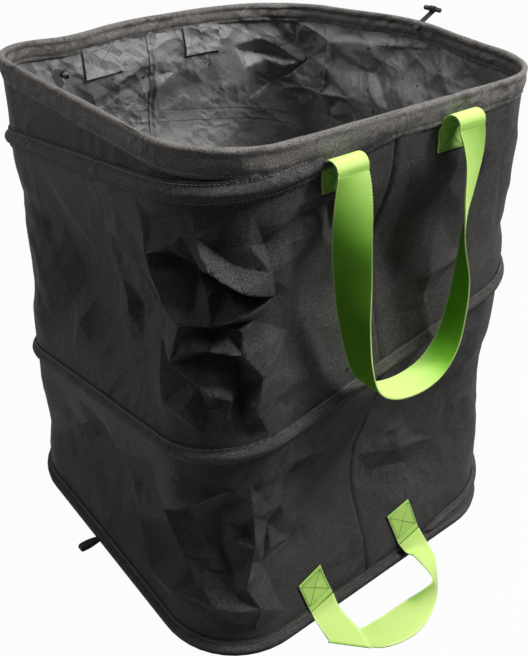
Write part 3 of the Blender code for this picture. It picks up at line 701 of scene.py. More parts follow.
def hang_walls():
    """The two wall panels, from under the base hem to inside the rim sleeve."""
    gap = 0.00012
    steps, levels, samples = 216, 156, 2000
    heights = [WALL_BOTTOM + (WALL_TOP - WALL_BOTTOM) * step / levels for step in range(levels + 1)]
    spans = (
        ("bag_wall_left", "wall_left", FRONT_SEAM + gap, BACK_SEAM - gap),
        ("bag_wall_right", "wall_right", BACK_SEAM + gap, 1 + FRONT_SEAM - gap),
    )
    for name, node_name, first, last in spans:
        # Columns crowd together at the crumpled near corner and beside the seams
        finer = [0.0]
        for sample in range(samples):
            turn = between(first, last, sample / samples)
            beside = min(apart(turn, FRONT_SEAM), apart(turn, BACK_SEAM))
            crowd = 1 + 0.8 * math.exp(-(((turn - 0.25) / 0.06) ** 2))
            finer.append(finer[-1] + (crowd + math.exp(-((beside / 0.006) ** 2))))
        columns, sample = [], 0
        for step in range(steps + 1):
            while sample < samples and finer[sample] < finer[-1] * step / steps:
                sample += 1
            columns.append(between(first, last, sample / samples))
        wall = lay_creased(name, columns, heights)
        shell = thicken(wall, FABRIC, -1)
        wall.data.materials.append(OUTER_FABRIC)
        wall.data.materials.append(COATED_INSIDE)
        shell.material_offset = 1
        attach(wall, "bag")
        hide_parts(node_name)
        fold_down(wall)


hang_walls()

# Base panel, hoop and hem
# A round-cornered floor of the same fabric. A spring wire hoop with a pressed steel crimp runs
# in the hem, a folded tape that binds floor, wall and hoop together, with one row of stitches.
HOOP_OUT, HOOP_HEIGHT = 0.0035, 0.0061
WIRE_RADIUS = 0.0016
BINDING = 0.0007
HEM_HEIGHT = 0.018


def hoop_point(turn, height, out, level):
    """A point out from the taut outline at one level, drawn at any height."""
    point, normal = outline(turn, wall_half(level), corner_radius(level))
    bend, rise = rim_bend(turn, level)
    point = point + normal * (out + bend)
    return Vector((point.x, point.y, height + rise))


def wire(name, points, closed, radius, finish):
    """A round wire through its points."""
    curve = bpy.data.curves.new(name, "CURVE")
    curve.dimensions = "3D"
    spline = curve.splines.new("POLY")
    spline.points.add(len(points) - 1)
    for point, place in zip(spline.points, points):
        point.co = (*place, 1.0)
    spline.use_cyclic_u = closed
    curve.bevel_depth = radius
    curve.bevel_resolution = 3
    curve.use_fill_caps = True
    drawn = bpy.data.objects.new(name, curve)
    obj = bpy.data.objects.new(name, bpy.data.meshes.new_from_object(drawn))
    bpy.data.objects.remove(drawn)
    obj.data.materials.append(finish)
    obj.data.shade_smooth()
    bpy.context.scene.collection.objects.link(obj)
    return obj


def steel(name, colour, roughness):
    """Drawn or pressed steel with fine draw marks."""
    made, tree, shader, node = new_material(name)
    spot = node("ShaderNodeTexCoord").outputs["Object"]
    marks = node("ShaderNodeTexNoise", Vector=spot, Scale=300.0, Detail=4.0)
    shader.inputs["Base Color"].default_value = (*colour, 1.0)
    shader.inputs["Metallic"].default_value = 1.0
    tree.links.new(
        maths(tree, "MULTIPLY_ADD", marks.outputs["Fac"], 0.3, roughness), shader.inputs["Roughness"]
    )
    bump = node("ShaderNodeBump", Height=marks.outputs["Fac"], Distance=0.00003)
    tree.links.new(bump.outputs[0], shader.inputs["Normal"])
    return made


SPRING_STEEL = steel("spring_steel", (0.50, 0.50, 0.51), 0.22)
CRIMP_STEEL = steel("crimped_steel", (0.60, 0.60, 0.60), 0.35)
SLEEVE_TAPE = woven(
    "sleeve_tape",
    (0.300, 0.284, 0.268),
    (0.072, 0.067, 0.063),
    thread=0.0010,
    roughness=0.70,
    relief=0.00020,
    gloss=0.1,
    creases=((0.014, 0.30),),
)
HEM_TAPE = woven(
    "hem_tape",
    (0.125, 0.120, 0.115),
    (0.020, 0.019, 0.018),
    thread=0.0010,
    roughness=0.65,
    relief=0.00020,
    gloss=0.08,
    creases=((0.012, 0.26),),
)


def dull(name, colour, roughness):
    """A plain thread or tape colour with a little variation."""
    made, tree, shader, node = new_material(name)
    spot = node("ShaderNodeTexCoord").outputs["Object"]
    specks = node("ShaderNodeTexNoise", Vector=spot, Scale=900.0, Detail=2.0)
    shade = node("ShaderNodeMix")
    shade.data_type = "RGBA"
    tree.links.new(specks.outputs["Fac"], shade.inputs["Factor"])
    shade.inputs["A"].default_value = (*(0.6 * part for part in colour), 1.0)
    shade.inputs["B"].default_value = (*(1.4 * part for part in colour), 1.0)
    tree.links.new(shade.outputs["Result"], shader.inputs["Base Color"])
    shader.inputs["Roughness"].default_value = roughness
    return made


BLACK_THREAD = dull("black_thread", (0.030, 0.029, 0.028), 0.5)
GREY_THREAD = dull("grey_thread", (0.230, 0.218, 0.204), 0.6)


def sew(name, stitches, width, finish):
    """A row of stitches: small rounded grains at (start, end, outward direction)."""
    grain = bmesh.new()
    bmesh.ops.create_uvsphere(grain, u_segments=6, v_segments=4, radius=0.5)
    bmesh.ops.rotate(grain, verts=grain.verts, matrix=Matrix.Rotation(math.pi / 2, 3, "Y"))
    grain_data = bpy.data.meshes.new("grain")
    grain.to_mesh(grain_data)
    grain.free()
    mesh = bmesh.new()
    for start, end, outward in stitches:
        reach = end - start
        along = reach.normalized()
        side = outward.cross(along).normalized()
        away = along.cross(side)
        frame_of = Matrix((along * (reach.length * 0.86), side * width, away * (0.7 * width)))
        placed = Matrix.Translation((start + end) / 2) @ frame_of.transposed().to_4x4()
        grain_data.transform(placed)
        mesh.from_mesh(grain_data)
        grain_data.transform(placed.inverted())
    obj = keep_mesh(name, mesh)
    obj.data.materials.append(finish)
    return obj


def stitch_line(points, outwards, length):
    """Splits a path into stitches of a length with its outward directions."""
    stitches = []
    start = points[0]
    for place, outward in zip(points[1:], outwards[1:]):
        if (place - start).length >= length:
            stitches.append((start, place, outward))
            start = place
    return stitches


def ring_turns(count):
    """Evenly spaced places once round the bag, in turns."""
    return [step / count for step in range(count + 1)]


def make_base():
    """Floor, hoop wire, crimp, hem and its stitches."""
    turns, rings, beyond = ring_turns(144), 40, 0.0080

    def place(column, row):
        edge = outline(turns[column], wall_half(0.0) + beyond, corner_radius(0.0) + beyond)[0]
        point = edge * (1 - row / rings * 0.999)
        ripple = noise.noise(Vector((point.x, point.y, 4.2)) * 14.0)
        loose = ease(0.0, 0.25, row / rings)
        return Vector((point.x, point.y, 0.0011 + 0.0012 * loose * (1 + ripple)))

    panel = lay_sheet("bag_base_panel", len(turns), rings + 1, place, closed=True)
    thicken(panel, FABRIC, -1)
    panel.data.materials.append(OUTER_FABRIC)
    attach(panel, "bag")
    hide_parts("base_panel")

    turns = ring_turns(360)
    points = [hoop_point(turn, HOOP_HEIGHT, HOOP_OUT, 0.0) for turn in turns[:-1]]
    hoop = wire("bag_base_hoop", points, True, WIRE_RADIUS, SPRING_STEEL)
    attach(hoop, "bag")
    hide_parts("base_hoop_wire")
    join_hoop("bag_base_crimp", "base_hoop_ferrule", HOOP_HEIGHT, HOOP_OUT, 0.0, "bag")

    section = [(0.0006, HEM_HEIGHT + 0.0006), (0.0011, 0.0160), (0.0006, 0.0132), (0.0014, 0.0115)]
    for degrees in (75, 50, 25, 0, -25, -50, -75):
        angle = math.radians(degrees)
        section.append((HOOP_OUT + 0.0042 * math.cos(angle), HOOP_HEIGHT + 0.0044 * math.sin(angle)))
    section.append((0.0005, 0.0016))
    section.reverse()

    def hem_place(column, row):
        out, height = section[row]
        turn = turns[column]
        pucker = 0.0007 * math.sin(2 * math.pi * turn * 230) * ease(0.004, 0.013, height)
        uneven = 0.0008 * noise.noise(Vector((60.0 * turn, 0.0, 0.5))) * ease(0.008, 0.016, height)
        if height > 0.012:
            return wall_point(turn, height + uneven, out + 0.5 * abs(pucker))
        return hoop_point(turn, height + uneven, out + pucker, 0.0)

    hem = lay_sheet("bag_base_hem", len(turns), len(section), hem_place, closed=True)
    thicken(hem, BINDING, 1)
    hem.data.materials.append(HEM_TAPE)
    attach(hem, "bag")
    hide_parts("base_hem")
    turns = ring_turns(1000)
    path = [wall_point(turn, 0.0145, 0.0019) for turn in turns]
    outwards = [Vector((*outline(turn, 1.0, 0.4)[1], 0.0)) for turn in turns]
    stitches = sew("bag_base_stitches", stitch_line(path, outwards, 0.0034), 0.0008, GREY_THREAD)
    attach(stitches, "bag")


def join_hoop(name, node_name, height, out, level, body):
    """The crimp that closes a hoop, on the straight of the back."""
    turn = side_turn(2, 0.030, level)
    middle = hoop_point(turn, height, out, level)
    radius, long = 0.0027, 0.016
    mesh = bmesh.new()
    bmesh.ops.create_cone(mesh, cap_ends=True, segments=24, radius1=radius, radius2=radius, depth=long)
    ends = [face for face in mesh.faces if len(face.verts) > 4]
    bmesh.ops.inset_region(mesh, faces=ends, thickness=0.0006, depth=-0.0002)
    bmesh.ops.rotate(mesh, verts=mesh.verts, matrix=Matrix.Rotation(math.pi / 2, 3, "Y"))
    for vertex in mesh.verts:
        pressed = math.exp(-((abs(vertex.co.x) - 0.004) / 0.0012) ** 2)
        vertex.co.y *= 1 - 0.10 * pressed
    bmesh.ops.translate(mesh, verts=mesh.verts, vec=middle)
    crimp = keep_mesh(name, mesh)
    crimp.data.materials.append(CRIMP_STEEL)
    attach(crimp, body)
    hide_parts(node_name)


make_base()

# Spring coil
# One spring wire winds from under the rim to the base in a sewn channel: a folded tape laid on
# the wall, flat at both edges with a row of stitches in each, and round over the wire.


def coil_place(turn):
    """Foot on the wall, outward direction and unbent height at a place on the coil."""
    height = coil_height(turn)
    if turn < COIL_START:
        height = COIL_TOP + (COIL_START - turn) * 0.25
    height -= 0.010 * ease(1.90, 2.03, turn)
    foot = wall_point(turn, height)
    normal = outline(turn, wall_half(height), corner_radius(height))[1]
    return foot, Vector((*normal, 0.0)), height


def channel_place(turn, up):
    """A spot on the wall above or below the coil, and the outward direction there."""
    foot, normal, height = coil_place(turn)
    drift = 0.0012 * noise.noise(Vector((turn * 16.0, 5.0, 0.0)))
    spot = wall_point(turn, height + up + drift)
    spot.z = height + up + drift + (foot.z - height)
    return spot, normal


def make_coil():
    """Channel band, wire, end caps and two rows of stitches, outside and inside."""
    first, last = 0.120, COIL_END + 0.010
    steps = 800
    turns = [between(first, last, step / steps) for step in range(steps + 1)]
    section = [(-0.0112, 0.0004), (-0.0106, 0.0010), (-0.0092, 0.0005), (-0.0074, 0.0008)]
    section += [(-0.0054, 0.0028), (-0.0032, 0.0054), (0.0, 0.0064), (0.0032, 0.0054)]
    section += [(0.0054, 0.0028), (0.0074, 0.0008), (0.0092, 0.0005), (0.0106, 0.0010)]
    section.append((0.0112, 0.0004))

    def place(column, row):
        up, away = section[row]
        turn = turns[column]
        swell = ease(first, 0.22, turn) * (1 - ease(COIL_END + 0.001, last, turn))
        pucker = 0.0005 * math.sin(2 * math.pi * turn * 210) + 0.0006 * noise.noise(
            Vector((turn * 70.0, up * 60.0, 2.0))
        )
        away = away * between(0.20, 1.0, swell) + pucker * ease(0.0, 0.0106, abs(up))
        up *= 1 - 0.35 * ease(1.96, 2.04, turn)
        spot, normal = channel_place(turn, up)
        return spot + normal * (abs(away) + 0.0003)

    band = lay_sheet("bag_coil_channel", len(turns), len(section), place)
    thicken(band, BINDING, 1)
    band.data.materials.append(HEM_TAPE)
    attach(band, "bag")
    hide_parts("spiral_channel")
    fold_down(band)

    points = []
    for turn in [turn for turn in turns if COIL_START <= turn <= COIL_END][::3]:
        foot, normal, _ = coil_place(turn)
        points.append(foot + normal * HOOP_OUT)
    coil = wire("bag_coil_wire", points, False, WIRE_RADIUS, SPRING_STEEL)
    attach(coil, "bag")
    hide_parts("spiral_wire")
    fold_down(coil)
    for name, node_name, end, before in (
        ("bag_coil_top_cap", "spiral_top_cap", points[0], points[1]),
        ("bag_coil_bottom_cap", "spiral_bottom_cap", points[-1], points[-2]),
    ):
        onward = (end - before).normalized()
        mesh = bmesh.new()
        bmesh.ops.create_uvsphere(mesh, u_segments=20, v_segments=12, radius=0.0027)
        # The half towards the wire is drawn out into a short tube
        stretch = [vertex for vertex in mesh.verts if vertex.co.z < -0.0001]
        bmesh.ops.translate(mesh, verts=stretch, vec=(0.0, 0.0, -0.009))
        turned = onward.to_track_quat("Z", "Y").to_matrix().to_4x4()
        bmesh.ops.transform(mesh, matrix=Matrix.Translation(end) @ turned, verts=mesh.verts)
        cap = keep_mesh(name, mesh)
        cap.data.materials.append(CRIMP_STEEL)
        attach(cap, "bag")
        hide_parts(node_name)
        fold_down(cap)
    seam, samples = 0.0088, 2600
    for name, up, inner in (
        ("bag_coil_stitches_upper", seam, False),
        ("bag_coil_stitches_lower", -seam, False),
        ("bag_coil_stitches_upper_inside", seam, True),
        ("bag_coil_stitches_lower_inside", -seam, True),
    ):
        path, outwards = [], []
        for step in range(samples):
            turn = between(0.16, COIL_END, step / samples)
            spot, normal = channel_place(turn, up)
            if inner:
                normal = -normal
            path.append(spot + normal * (FABRIC + 0.0002 if inner else 0.0018))
            outwards.append(normal)
        finish = BLACK_THREAD if inner else GREY_THREAD
        row = sew(name, stitch_line(path, outwards, 0.0033), 0.0010, finish)
        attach(row, "bag")
        fold_down(row)


make_coil()

# Seam bindings
# The raw edges of the two seams are bound inside with a flat tape. Outside, each seam is a
# dark groove with a second row of stitches beside it.


def make_seams():
    """Bindings inside and a row of stitches beside each seam outside."""
    for name, node_name, seam in (
        ("bag_seam_binding_front", "seam_binding_front", FRONT_SEAM),
        ("bag_seam_binding_back", "seam_binding_back", BACK_SEAM),
    ):
        reach = 0.0080 / PERIMETER
        rows = [between(0.0030, 0.6275, step / 150) for step in range(151)]

        def place(column, row, seam=seam):
            turn = seam + reach * (column / 4 - 1)
            pucker = 0.0004 * math.sin(rows[row] * 900.0) * abs(column / 4 - 1)
            pulled = seam_pull(turn, seam)
            return wall_point(turn, rows[row], -FABRIC - 0.0006 - pulled + pucker)

        binding = lay_sheet(name, 9, len(rows), place)
        thicken(binding, BINDING, -1)
        binding.data.materials.append(COATED_INSIDE)
        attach(binding, "bag")
        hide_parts(node_name)
        fold_down(binding)
        path, outwards = [], []
        samples = 900
        for step in range(samples):
            height = between(0.020, 0.628, step / samples)
            turn = seam - 0.0052 / PERIMETER
            path.append(wall_point(turn, height, 0.0003))
            outwards.append(Vector((*outline(turn, 1.0, 0.4)[1], 0.0)))
        row = sew(name + "_stitches", stitch_line(path, outwards, 0.0032), 0.0007, BLACK_THREAD)
        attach(row, "bag")
        fold_down(row)


make_seams()

# Rim hoop and sleeve
# A second spring hoop holds the mouth open. It runs in a tape folded over the wall's top edge:
# a round tube over the wire, drawn in below it by a row of stitches.
RIM_OUT, RIM_HEIGHT = -0.0006, 0.6456


def make_rim():
    """Sleeve, wire, crimp and stitches of the rim."""
    turns = ring_turns(420)
    points = [hoop_point(turn, RIM_HEIGHT, RIM_OUT, HEIGHT) for turn in turns[:-1]]
    hoop = wire("bag_rim_hoop", points, True, WIRE_RADIUS, SPRING_STEEL)
    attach(hoop, "rim")
    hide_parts("rim_hoop_wire")
    join_hoop("bag_rim_crimp", "rim_hoop_ferrule", RIM_HEIGHT, RIM_OUT, HEIGHT, "rim")

    section = [(0.0008, 0.6226), (0.0017, 0.6238), (0.0007, 0.6258), (0.0019, 0.6280)]
    section += [(0.0028, 0.6320), (0.0031, 0.6370), (0.0028, 0.6410), (0.0024, 0.6435)]
    section += [(0.0029, 0.6455), (0.0028, 0.6474), (0.0017, 0.6490), (0.0000, 0.6497)]
    section += [(-0.0020, 0.6494), (-0.0035, 0.6478), (-0.0039, 0.6457), (-0.0033, 0.6436)]
    section += [(-0.0029, 0.6426), (-0.0040, 0.6392), (-0.0042, 0.6350), (-0.0033, 0.6316)]
    section += [(-0.0021, 0.6298), (-0.0028, 0.6281), (-0.0021, 0.6267)]

    def place(column, row):
        out, height = section[row]
        turn = turns[column]
        low = 1 - ease(0.630, 0.645, height)
        pucker = 0.0012 * noise.noise(Vector((turn * 260.0, height * 90.0, 3.0)))
        soft = 0.0016 * noise.noise(Vector((turn * 52.0, height * 70.0, out * 90.0)))
        sway = 0.0010 * noise.noise(Vector((turn * 20.0, 1.0, 0.0))) * low
        side = 1 if out > 0 else -1
        return hoop_point(turn, height + sway, out + side * (pucker * low + soft), HEIGHT)

    sleeve = lay_sheet("bag_rim_sleeve", len(turns), len(section), place, closed=True)
    thicken(sleeve, BINDING, 1)
    sleeve.data.materials.append(SLEEVE_TAPE)
    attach(sleeve, "rim")
    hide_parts("rim_sleeve")
    for name, out, level in (
        ("bag_rim_stitches_outer", 0.0022, 0.6258),
        ("bag_rim_stitches_inner", -0.0032, 0.6298),
    ):
        path, outwards = [], []
        for turn in ring_turns(2000)[:-1]:
            sway = 0.0010 * noise.noise(Vector((turn * 20.0, 1.0, 0.0)))
            path.append(hoop_point(turn, level + sway, out, HEIGHT))
            normal = Vector((*outline(turn, 1.0, 0.4)[1], 0.0))
            outwards.append(normal if out > 0 else -normal)
        row = sew(name, stitch_line(path, outwards, 0.0033), 0.0009, GREY_THREAD)
        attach(row, "rim")


make_rim()

# Patches inside the wall
# A square of the lining fabric backs every sewn end of a handle, with a box and a cross of
# stitches through both. Its free edges stand a little off the wall.
HANDLE_SPACING = 0.163
PATCH_WIDTH, PATCH_FABRIC = 0.060, 0.0008
UPPER_PATCH_BOTTOM, UPPER_PATCH_HEIGHT = 0.5915, 0.038
LOWER_PATCH_BOTTOM, LOWER_PATCH_HEIGHT = 0.030, 0.046


def box_and_cross(place, width, height, length):
    """Stitches round a box and along its two diagonals; place(across, up) gives the spots."""
    corners = [(-1, -1), (1, -1), (1, 1), (-1, 1)]
    runs = list(zip(corners, corners[1:] + corners[:1])) + [(corners[0], corners[2])]
    runs.append((corners[1], corners[3]))
    stitches = []
    for (x0, y0), (x1, y1) in runs:
        span = math.hypot((x1 - x0) * width / 2, (y1 - y0) * height / 2)
        count = max(2, round(span / length))
        spots = []
        for step in range(count + 1):
            across, up = between(x0, x1, step / count), between(y0, y1, step / count)
            spots.append(place(across * width / 2, up * height / 2))
        for start, end in zip(spots, spots[1:]):
            stitches.append((start[0], end[0], start[1]))
    return stitches


def on_side(side, along, height, out):
    """A point out from the wall, at a distance along a side from its middle."""
    return wall_point(side_turn(side, along, height), height, out)


def make_patch(name, node_name, side, along, bottom, height, body):
    """One lining patch and its stitches."""
    steps, levels = 12, 10

    def place(column, row):
        reach = along + PATCH_WIDTH * (column / steps - 0.5)
        loose = max(abs(2 * column / steps - 1), 1 - row / levels) ** 4
        return on_side(side, reach, bottom + height * row / levels, -FABRIC - 0.0006 - 0.0022 * loose)

    patch = lay_sheet(name, steps + 1, levels + 1, place)
    thicken(patch, PATCH_FABRIC, -1)
    patch.data.materials.append(COATED_INSIDE)
    outward = side_frame(side)[0]
    inward = Vector((-outward.x, -outward.y, 0.0))

    def spot(across, up):
        place_on = on_side(side, along + across, bottom + height / 2 + up, -FABRIC - 0.0015)
        return place_on, inward

    box = box_and_cross(spot, 0.036, height - 0.010, 0.0032)
    rows = sew(name + "_stitches", box, 0.0011, BLACK_THREAD)
    for piece in (patch, rows):
        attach(piece, body)
        if body == "bag":
            fold_down(piece)
    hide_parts(node_name)


def make_patches():
    """Two patches behind each of the three handles."""
    upper = (UPPER_PATCH_BOTTOM, UPPER_PATCH_HEIGHT, "rim")
    lower = (LOWER_PATCH_BOTTOM, LOWER_PATCH_HEIGHT, "bag")
    for end, side, middle, level in (
        ("front", 0, -FRONT_MIDDLE, upper),
        ("back", 2, BACK_MIDDLE, upper),
        ("lower", 0, -FRONT_MIDDLE, lower),
    ):
        for hand, sign in (("left", 1), ("right", -1)):
            along = middle + sign * 0.5 * HANDLE_SPACING
            make_patch(f"bag_{end}_patch_{hand}", f"{end}_patch_{hand}", side, along, *level)


make_patches()

# Carrying handles
# Lime webbing 40 mm wide, ribbed across. Each end is sewn flat on the wall under the rim with
# a box and a cross, then folded over itself so that the loop hangs down and twists edge on.
WEBBING_HALF, WEBBING = 0.020, 0.0015
# Middle of each sewn end, its bottom, the height of its fold, and how far the fold leans
SEWN_ENDS = (("left", -0.0710, 0.5915, 0.6165, 0.0015), ("right", 0.0875, 0.5940, 0.6255, 0.0070))
FOLD_RADIUS = 0.010
FOLD_OUT = 0.2642


def webbing(name):
    """Ribbed lime webbing on a UV map in metres, with painted light: painted shade where it faces away
    from the key light, and a painted highlight where it faces it and along its edges.
    """
    made, tree, shader, node = new_material(name)
    spot = node("ShaderNodeTexCoord").outputs
    cut = node("ShaderNodeSeparateXYZ", Vector=spot["UV"]).outputs
    ribs = maths(tree, "SINE", maths(tree, "MULTIPLY", cut["Y"], 2 * math.pi / 0.0016), 0.0)
    grain = maths(tree, "SINE", maths(tree, "MULTIPLY", cut["X"], 2 * math.pi / 0.0011), 0.0)
    cross = maths(tree, "MULTIPLY", ribs, grain)
    slub = node("ShaderNodeTexNoise", Vector=spot["Object"], Scale=500.0, Detail=3.0)
    cloud = node("ShaderNodeTexNoise", Vector=spot["Object"], Scale=30.0, Detail=4.0)
    tone = maths(tree, "MULTIPLY", slub.outputs["Fac"], 0.4)
    tone = maths(tree, "MULTIPLY_ADD", cloud.outputs["Fac"], 0.5, tone)
    tone = maths(tree, "MULTIPLY_ADD", ribs, 0.10, tone, clamp=True)
    shade = node("ShaderNodeMix")
    # Painted shade: the green darkens from lime to deep green as the webbing turns away from the key
    # light.
    shade.data_type = "RGBA"
    key_light_facing = node("ShaderNodeVectorMath", Vector=spot["Normal"])
    key_light_facing.operation = "DOT_PRODUCT"
    key_light_facing.inputs[1].default_value = (0.42, -0.48, 0.77)
    turned = maths(tree, "MULTIPLY_ADD", key_light_facing.outputs["Value"], 1.3, 0.32, clamp=True)
    depth = maths(tree, "MULTIPLY", turned, 0.80)
    depth = maths(tree, "MULTIPLY_ADD", tone, 0.30, depth, clamp=True)
    tree.links.new(depth, shade.inputs["Factor"])
    shade.inputs["A"].default_value = (0.100, 0.360, 0.010, 1.0)
    shade.inputs["B"].default_value = (0.330, 0.900, 0.065, 1.0)
    shader.inputs["Roughness"].default_value = 0.55
    shader.inputs["Specular IOR Level"].default_value = 0.05
    # Painted highlight: the colour pales where the webbing faces the key light.
    painted_highlight_share = maths(tree, "MULTIPLY_ADD", key_light_facing.outputs["Value"], 1.50, -0.18, clamp=True)
    painted_highlight_share = maths(tree, "MULTIPLY", painted_highlight_share, 0.90)
    painted_highlight_share = maths(tree, "MULTIPLY_ADD", tone, 0.15, painted_highlight_share, clamp=True)
    painted_highlight_mix = node("ShaderNodeMix")
    painted_highlight_mix.data_type = "RGBA"
    tree.links.new(painted_highlight_share, painted_highlight_mix.inputs["Factor"])
    tree.links.new(shade.outputs["Result"], painted_highlight_mix.inputs["A"])
    painted_highlight_mix.inputs["B"].default_value = (0.600, 0.790, 0.240, 1.0)
    # Painted highlight: a thin pale line along both edges, where the edge of the webbing catches the
    # light.
    off_middle = maths(tree, "ABSOLUTE", maths(tree, "SUBTRACT", cut["X"], WEBBING_HALF), 0.0)
    crisp, inset = 1400.0, WEBBING_HALF - 0.0017
    edge_highlight_share = maths(tree, "MULTIPLY_ADD", off_middle, crisp, -crisp * inset, clamp=True)
    pale = node("ShaderNodeMix")
    pale.data_type = "RGBA"
    tree.links.new(edge_highlight_share, pale.inputs["Factor"])
    tree.links.new(painted_highlight_mix.outputs["Result"], pale.inputs["A"])
    pale.inputs["B"].default_value = (0.640, 0.880, 0.300, 1.0)
    tree.links.new(pale.outputs["Result"], shader.inputs["Base Color"])
    height = maths(tree, "MULTIPLY_ADD", ribs, 0.8, maths(tree, "MULTIPLY", cross, 0.5))
    height = maths(tree, "MULTIPLY_ADD", slub.outputs["Fac"], 0.6, height)
    bump = node("ShaderNodeBump", Height=height, Distance=0.00016)
    bump.inputs["Strength"].default_value = 0.8
    tree.links.new(bump.outputs[0], shader.inputs["Normal"])
    return made


LIME_WEBBING = webbing("lime_webbing")
GREEN_THREAD = dull("dark_green_thread", (0.020, 0.110, 0.006), 0.6)


def along_stations(stations, share):
    """A smooth path through stations of equal-length numbers, at a share of its length."""
    lengths = [0.0]
    for first, second in zip(stations, stations[1:]):
        step = math.dist(first[:3], second[:3])
        if len(first) == 6:
            step = max(step, math.dist(first[3:], second[3:]))
        lengths.append(lengths[-1] + step)
    target = share * lengths[-1]
    index = 0
    while index < len(stations) - 2 and lengths[index + 1] < target:
        index += 1
    step = lengths[index + 1] - lengths[index]
    t = (target - lengths[index]) / step
    result = []
    for part in range(len(stations[0])):
        p1, p2 = stations[index][part], stations[index + 1][part]
        before, after = max(0, index - 1), min(len(stations) - 1, index + 2)
        m1 = (p2 - stations[before][part]) / (lengths[index + 1] - lengths[before]) * step
        m2 = (stations[after][part] - p1) / (lengths[after] - lengths[index]) * step
        h = (2 * t**3 - 3 * t**2 + 1, t**3 - 2 * t**2 + t, -2 * t**3 + 3 * t**2, t**3 - t**2)
        result.append(h[0] * p1 + h[1] * m1 + h[2] * p2 + h[3] * m2)
    return result


def strap(name, edges, rows):
    """Webbing between its two edges: edges(share) gives the back and the front edge."""
    across = 20
    pairs = [edges(row / (rows - 1)) for row in range(rows)]

    def place(column, row):
        back, front = pairs[row]
        share = column / across
        if column in (0, across):
            share += (0.5 - share) * 0.03 * (1 + math.sin(row * 2.1))
        return back.lerp(front, share)

    obj = lay_sheet(name, across + 1, rows, place)
    thicken(obj, WEBBING, 0)
    obj.data.materials.append(LIME_WEBBING)
    return obj


# Right along the side, out from the bag's middle, height, and how far the strap has turned
LOOP = (
    (-0.0695, 0.2642, 0.6119, 0),
    (-0.0688, 0.2652, 0.6000, 9),
    (-0.0690, 0.2670, 0.5750, 24),
    (-0.0690, 0.2685, 0.5400, 41),
    (-0.0655, 0.2700, 0.4970, 58),
    (-0.0635, 0.2730, 0.4580, 73),
    (-0.0570, 0.2790, 0.4080, 87),
    (-0.0430, 0.2820, 0.3700, 90),
    (-0.0140, 0.2830, 0.3490, 90),
    (0.0260, 0.2840, 0.3420, 90),
    (0.0610, 0.2835, 0.3500, 98),
    (0.0840, 0.2825, 0.3760, 103),
    (0.0940, 0.2810, 0.4180, 110),
    (0.0965, 0.2790, 0.4590, 117),
    (0.0960, 0.2740, 0.5000, 135),
    (0.1030, 0.2675, 0.5430, 153),
    (0.1070, 0.2640, 0.5820, 165),
    (0.1010, 0.2642, 0.6060, 174),
    (0.0945, 0.2642, 0.6209, 180),
)


def side_axes(side):
    """The right, outward and up directions of a side, seen from outside."""
    outward, onward = side_frame(side)
    return Vector((-onward.x, -onward.y, 0.0)), Vector((*outward, 0.0)), Vector((0.0, 0.0, 1.0))


def make_upper_handles():
    """Both carrying handles: sewn ends with their folds, loops and stitches."""
    for end, side, middle in (("front", 0, FRONT_MIDDLE), ("back", 2, -BACK_MIDDLE)):
        right, outward, up = side_axes(side)

        def edges(share):
            along, away, height, turned = along_stations(LOOP, share)
            angle = math.radians(turned)
            width = right * math.cos(angle) + outward * math.sin(angle)
            centre = right * middle + right * along + outward * away + up * height
            return centre - width * WEBBING_HALF, centre + width * WEBBING_HALF

        loop = strap(f"bag_{end}_handle_loop", edges, 620)
        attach(loop, f"{end}_handle")
        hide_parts(f"{end}_handle_loop")
        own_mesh(loop)
        for hand, middle_of_end, bottom, fold, lean in SEWN_ENDS:

            def end_edges(share, middle_of_end=middle_of_end, bottom=bottom, fold=fold, lean=lean):
                # Up the wall to the fold, half round it and a little way down again
                pair = []
                for edge in (-WEBBING_HALF, WEBBING_HALF):
                    along = middle + middle_of_end + edge + lean * ease(0.45, 1.0, share)
                    reach = share * (fold - bottom + math.pi * FOLD_RADIUS + 0.0045)
                    height = min(fold, bottom + reach)
                    off_wall = 0.0018 + 0.0030 * ease(0.617, 0.623, height)
                    wall = on_side(side, -along, height, off_wall)
                    rest = reach - (fold - bottom)
                    distance = wall.dot(outward)
                    if rest > 0:
                        angle = min(math.pi, rest / FOLD_RADIUS)
                        distance = between(distance, FOLD_OUT, 0.5 - 0.5 * math.cos(angle))
                        height += FOLD_RADIUS * math.sin(angle)
                        height -= max(0.0, rest - math.pi * FOLD_RADIUS)
                    pair.append(right * along + outward * distance + up * height)
                return pair

            sewn = strap(f"bag_{end}_handle_end_{hand}", end_edges, 90)
            held, free = outward * 0.247 + up * 0.61, outward * 0.263 + up * 0.61
            tuple(held)
            tuple(free)
            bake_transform(sewn)
            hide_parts(f"{end}_handle_end_{hand}")

            def spot(across, rise, middle_of_end=middle_of_end, level=0.5 * (bottom + fold)):
                along = middle + middle_of_end + across
                return on_side(side, -along, level + rise, 0.0030), outward

            box = box_and_cross(spot, 0.034, fold - bottom - 0.004, 0.0030)
            rows = sew(f"bag_{end}_handle_stitches_{hand}", box, 0.0007, GREEN_THREAD)
            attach(rows, "rim")


make_upper_handles()

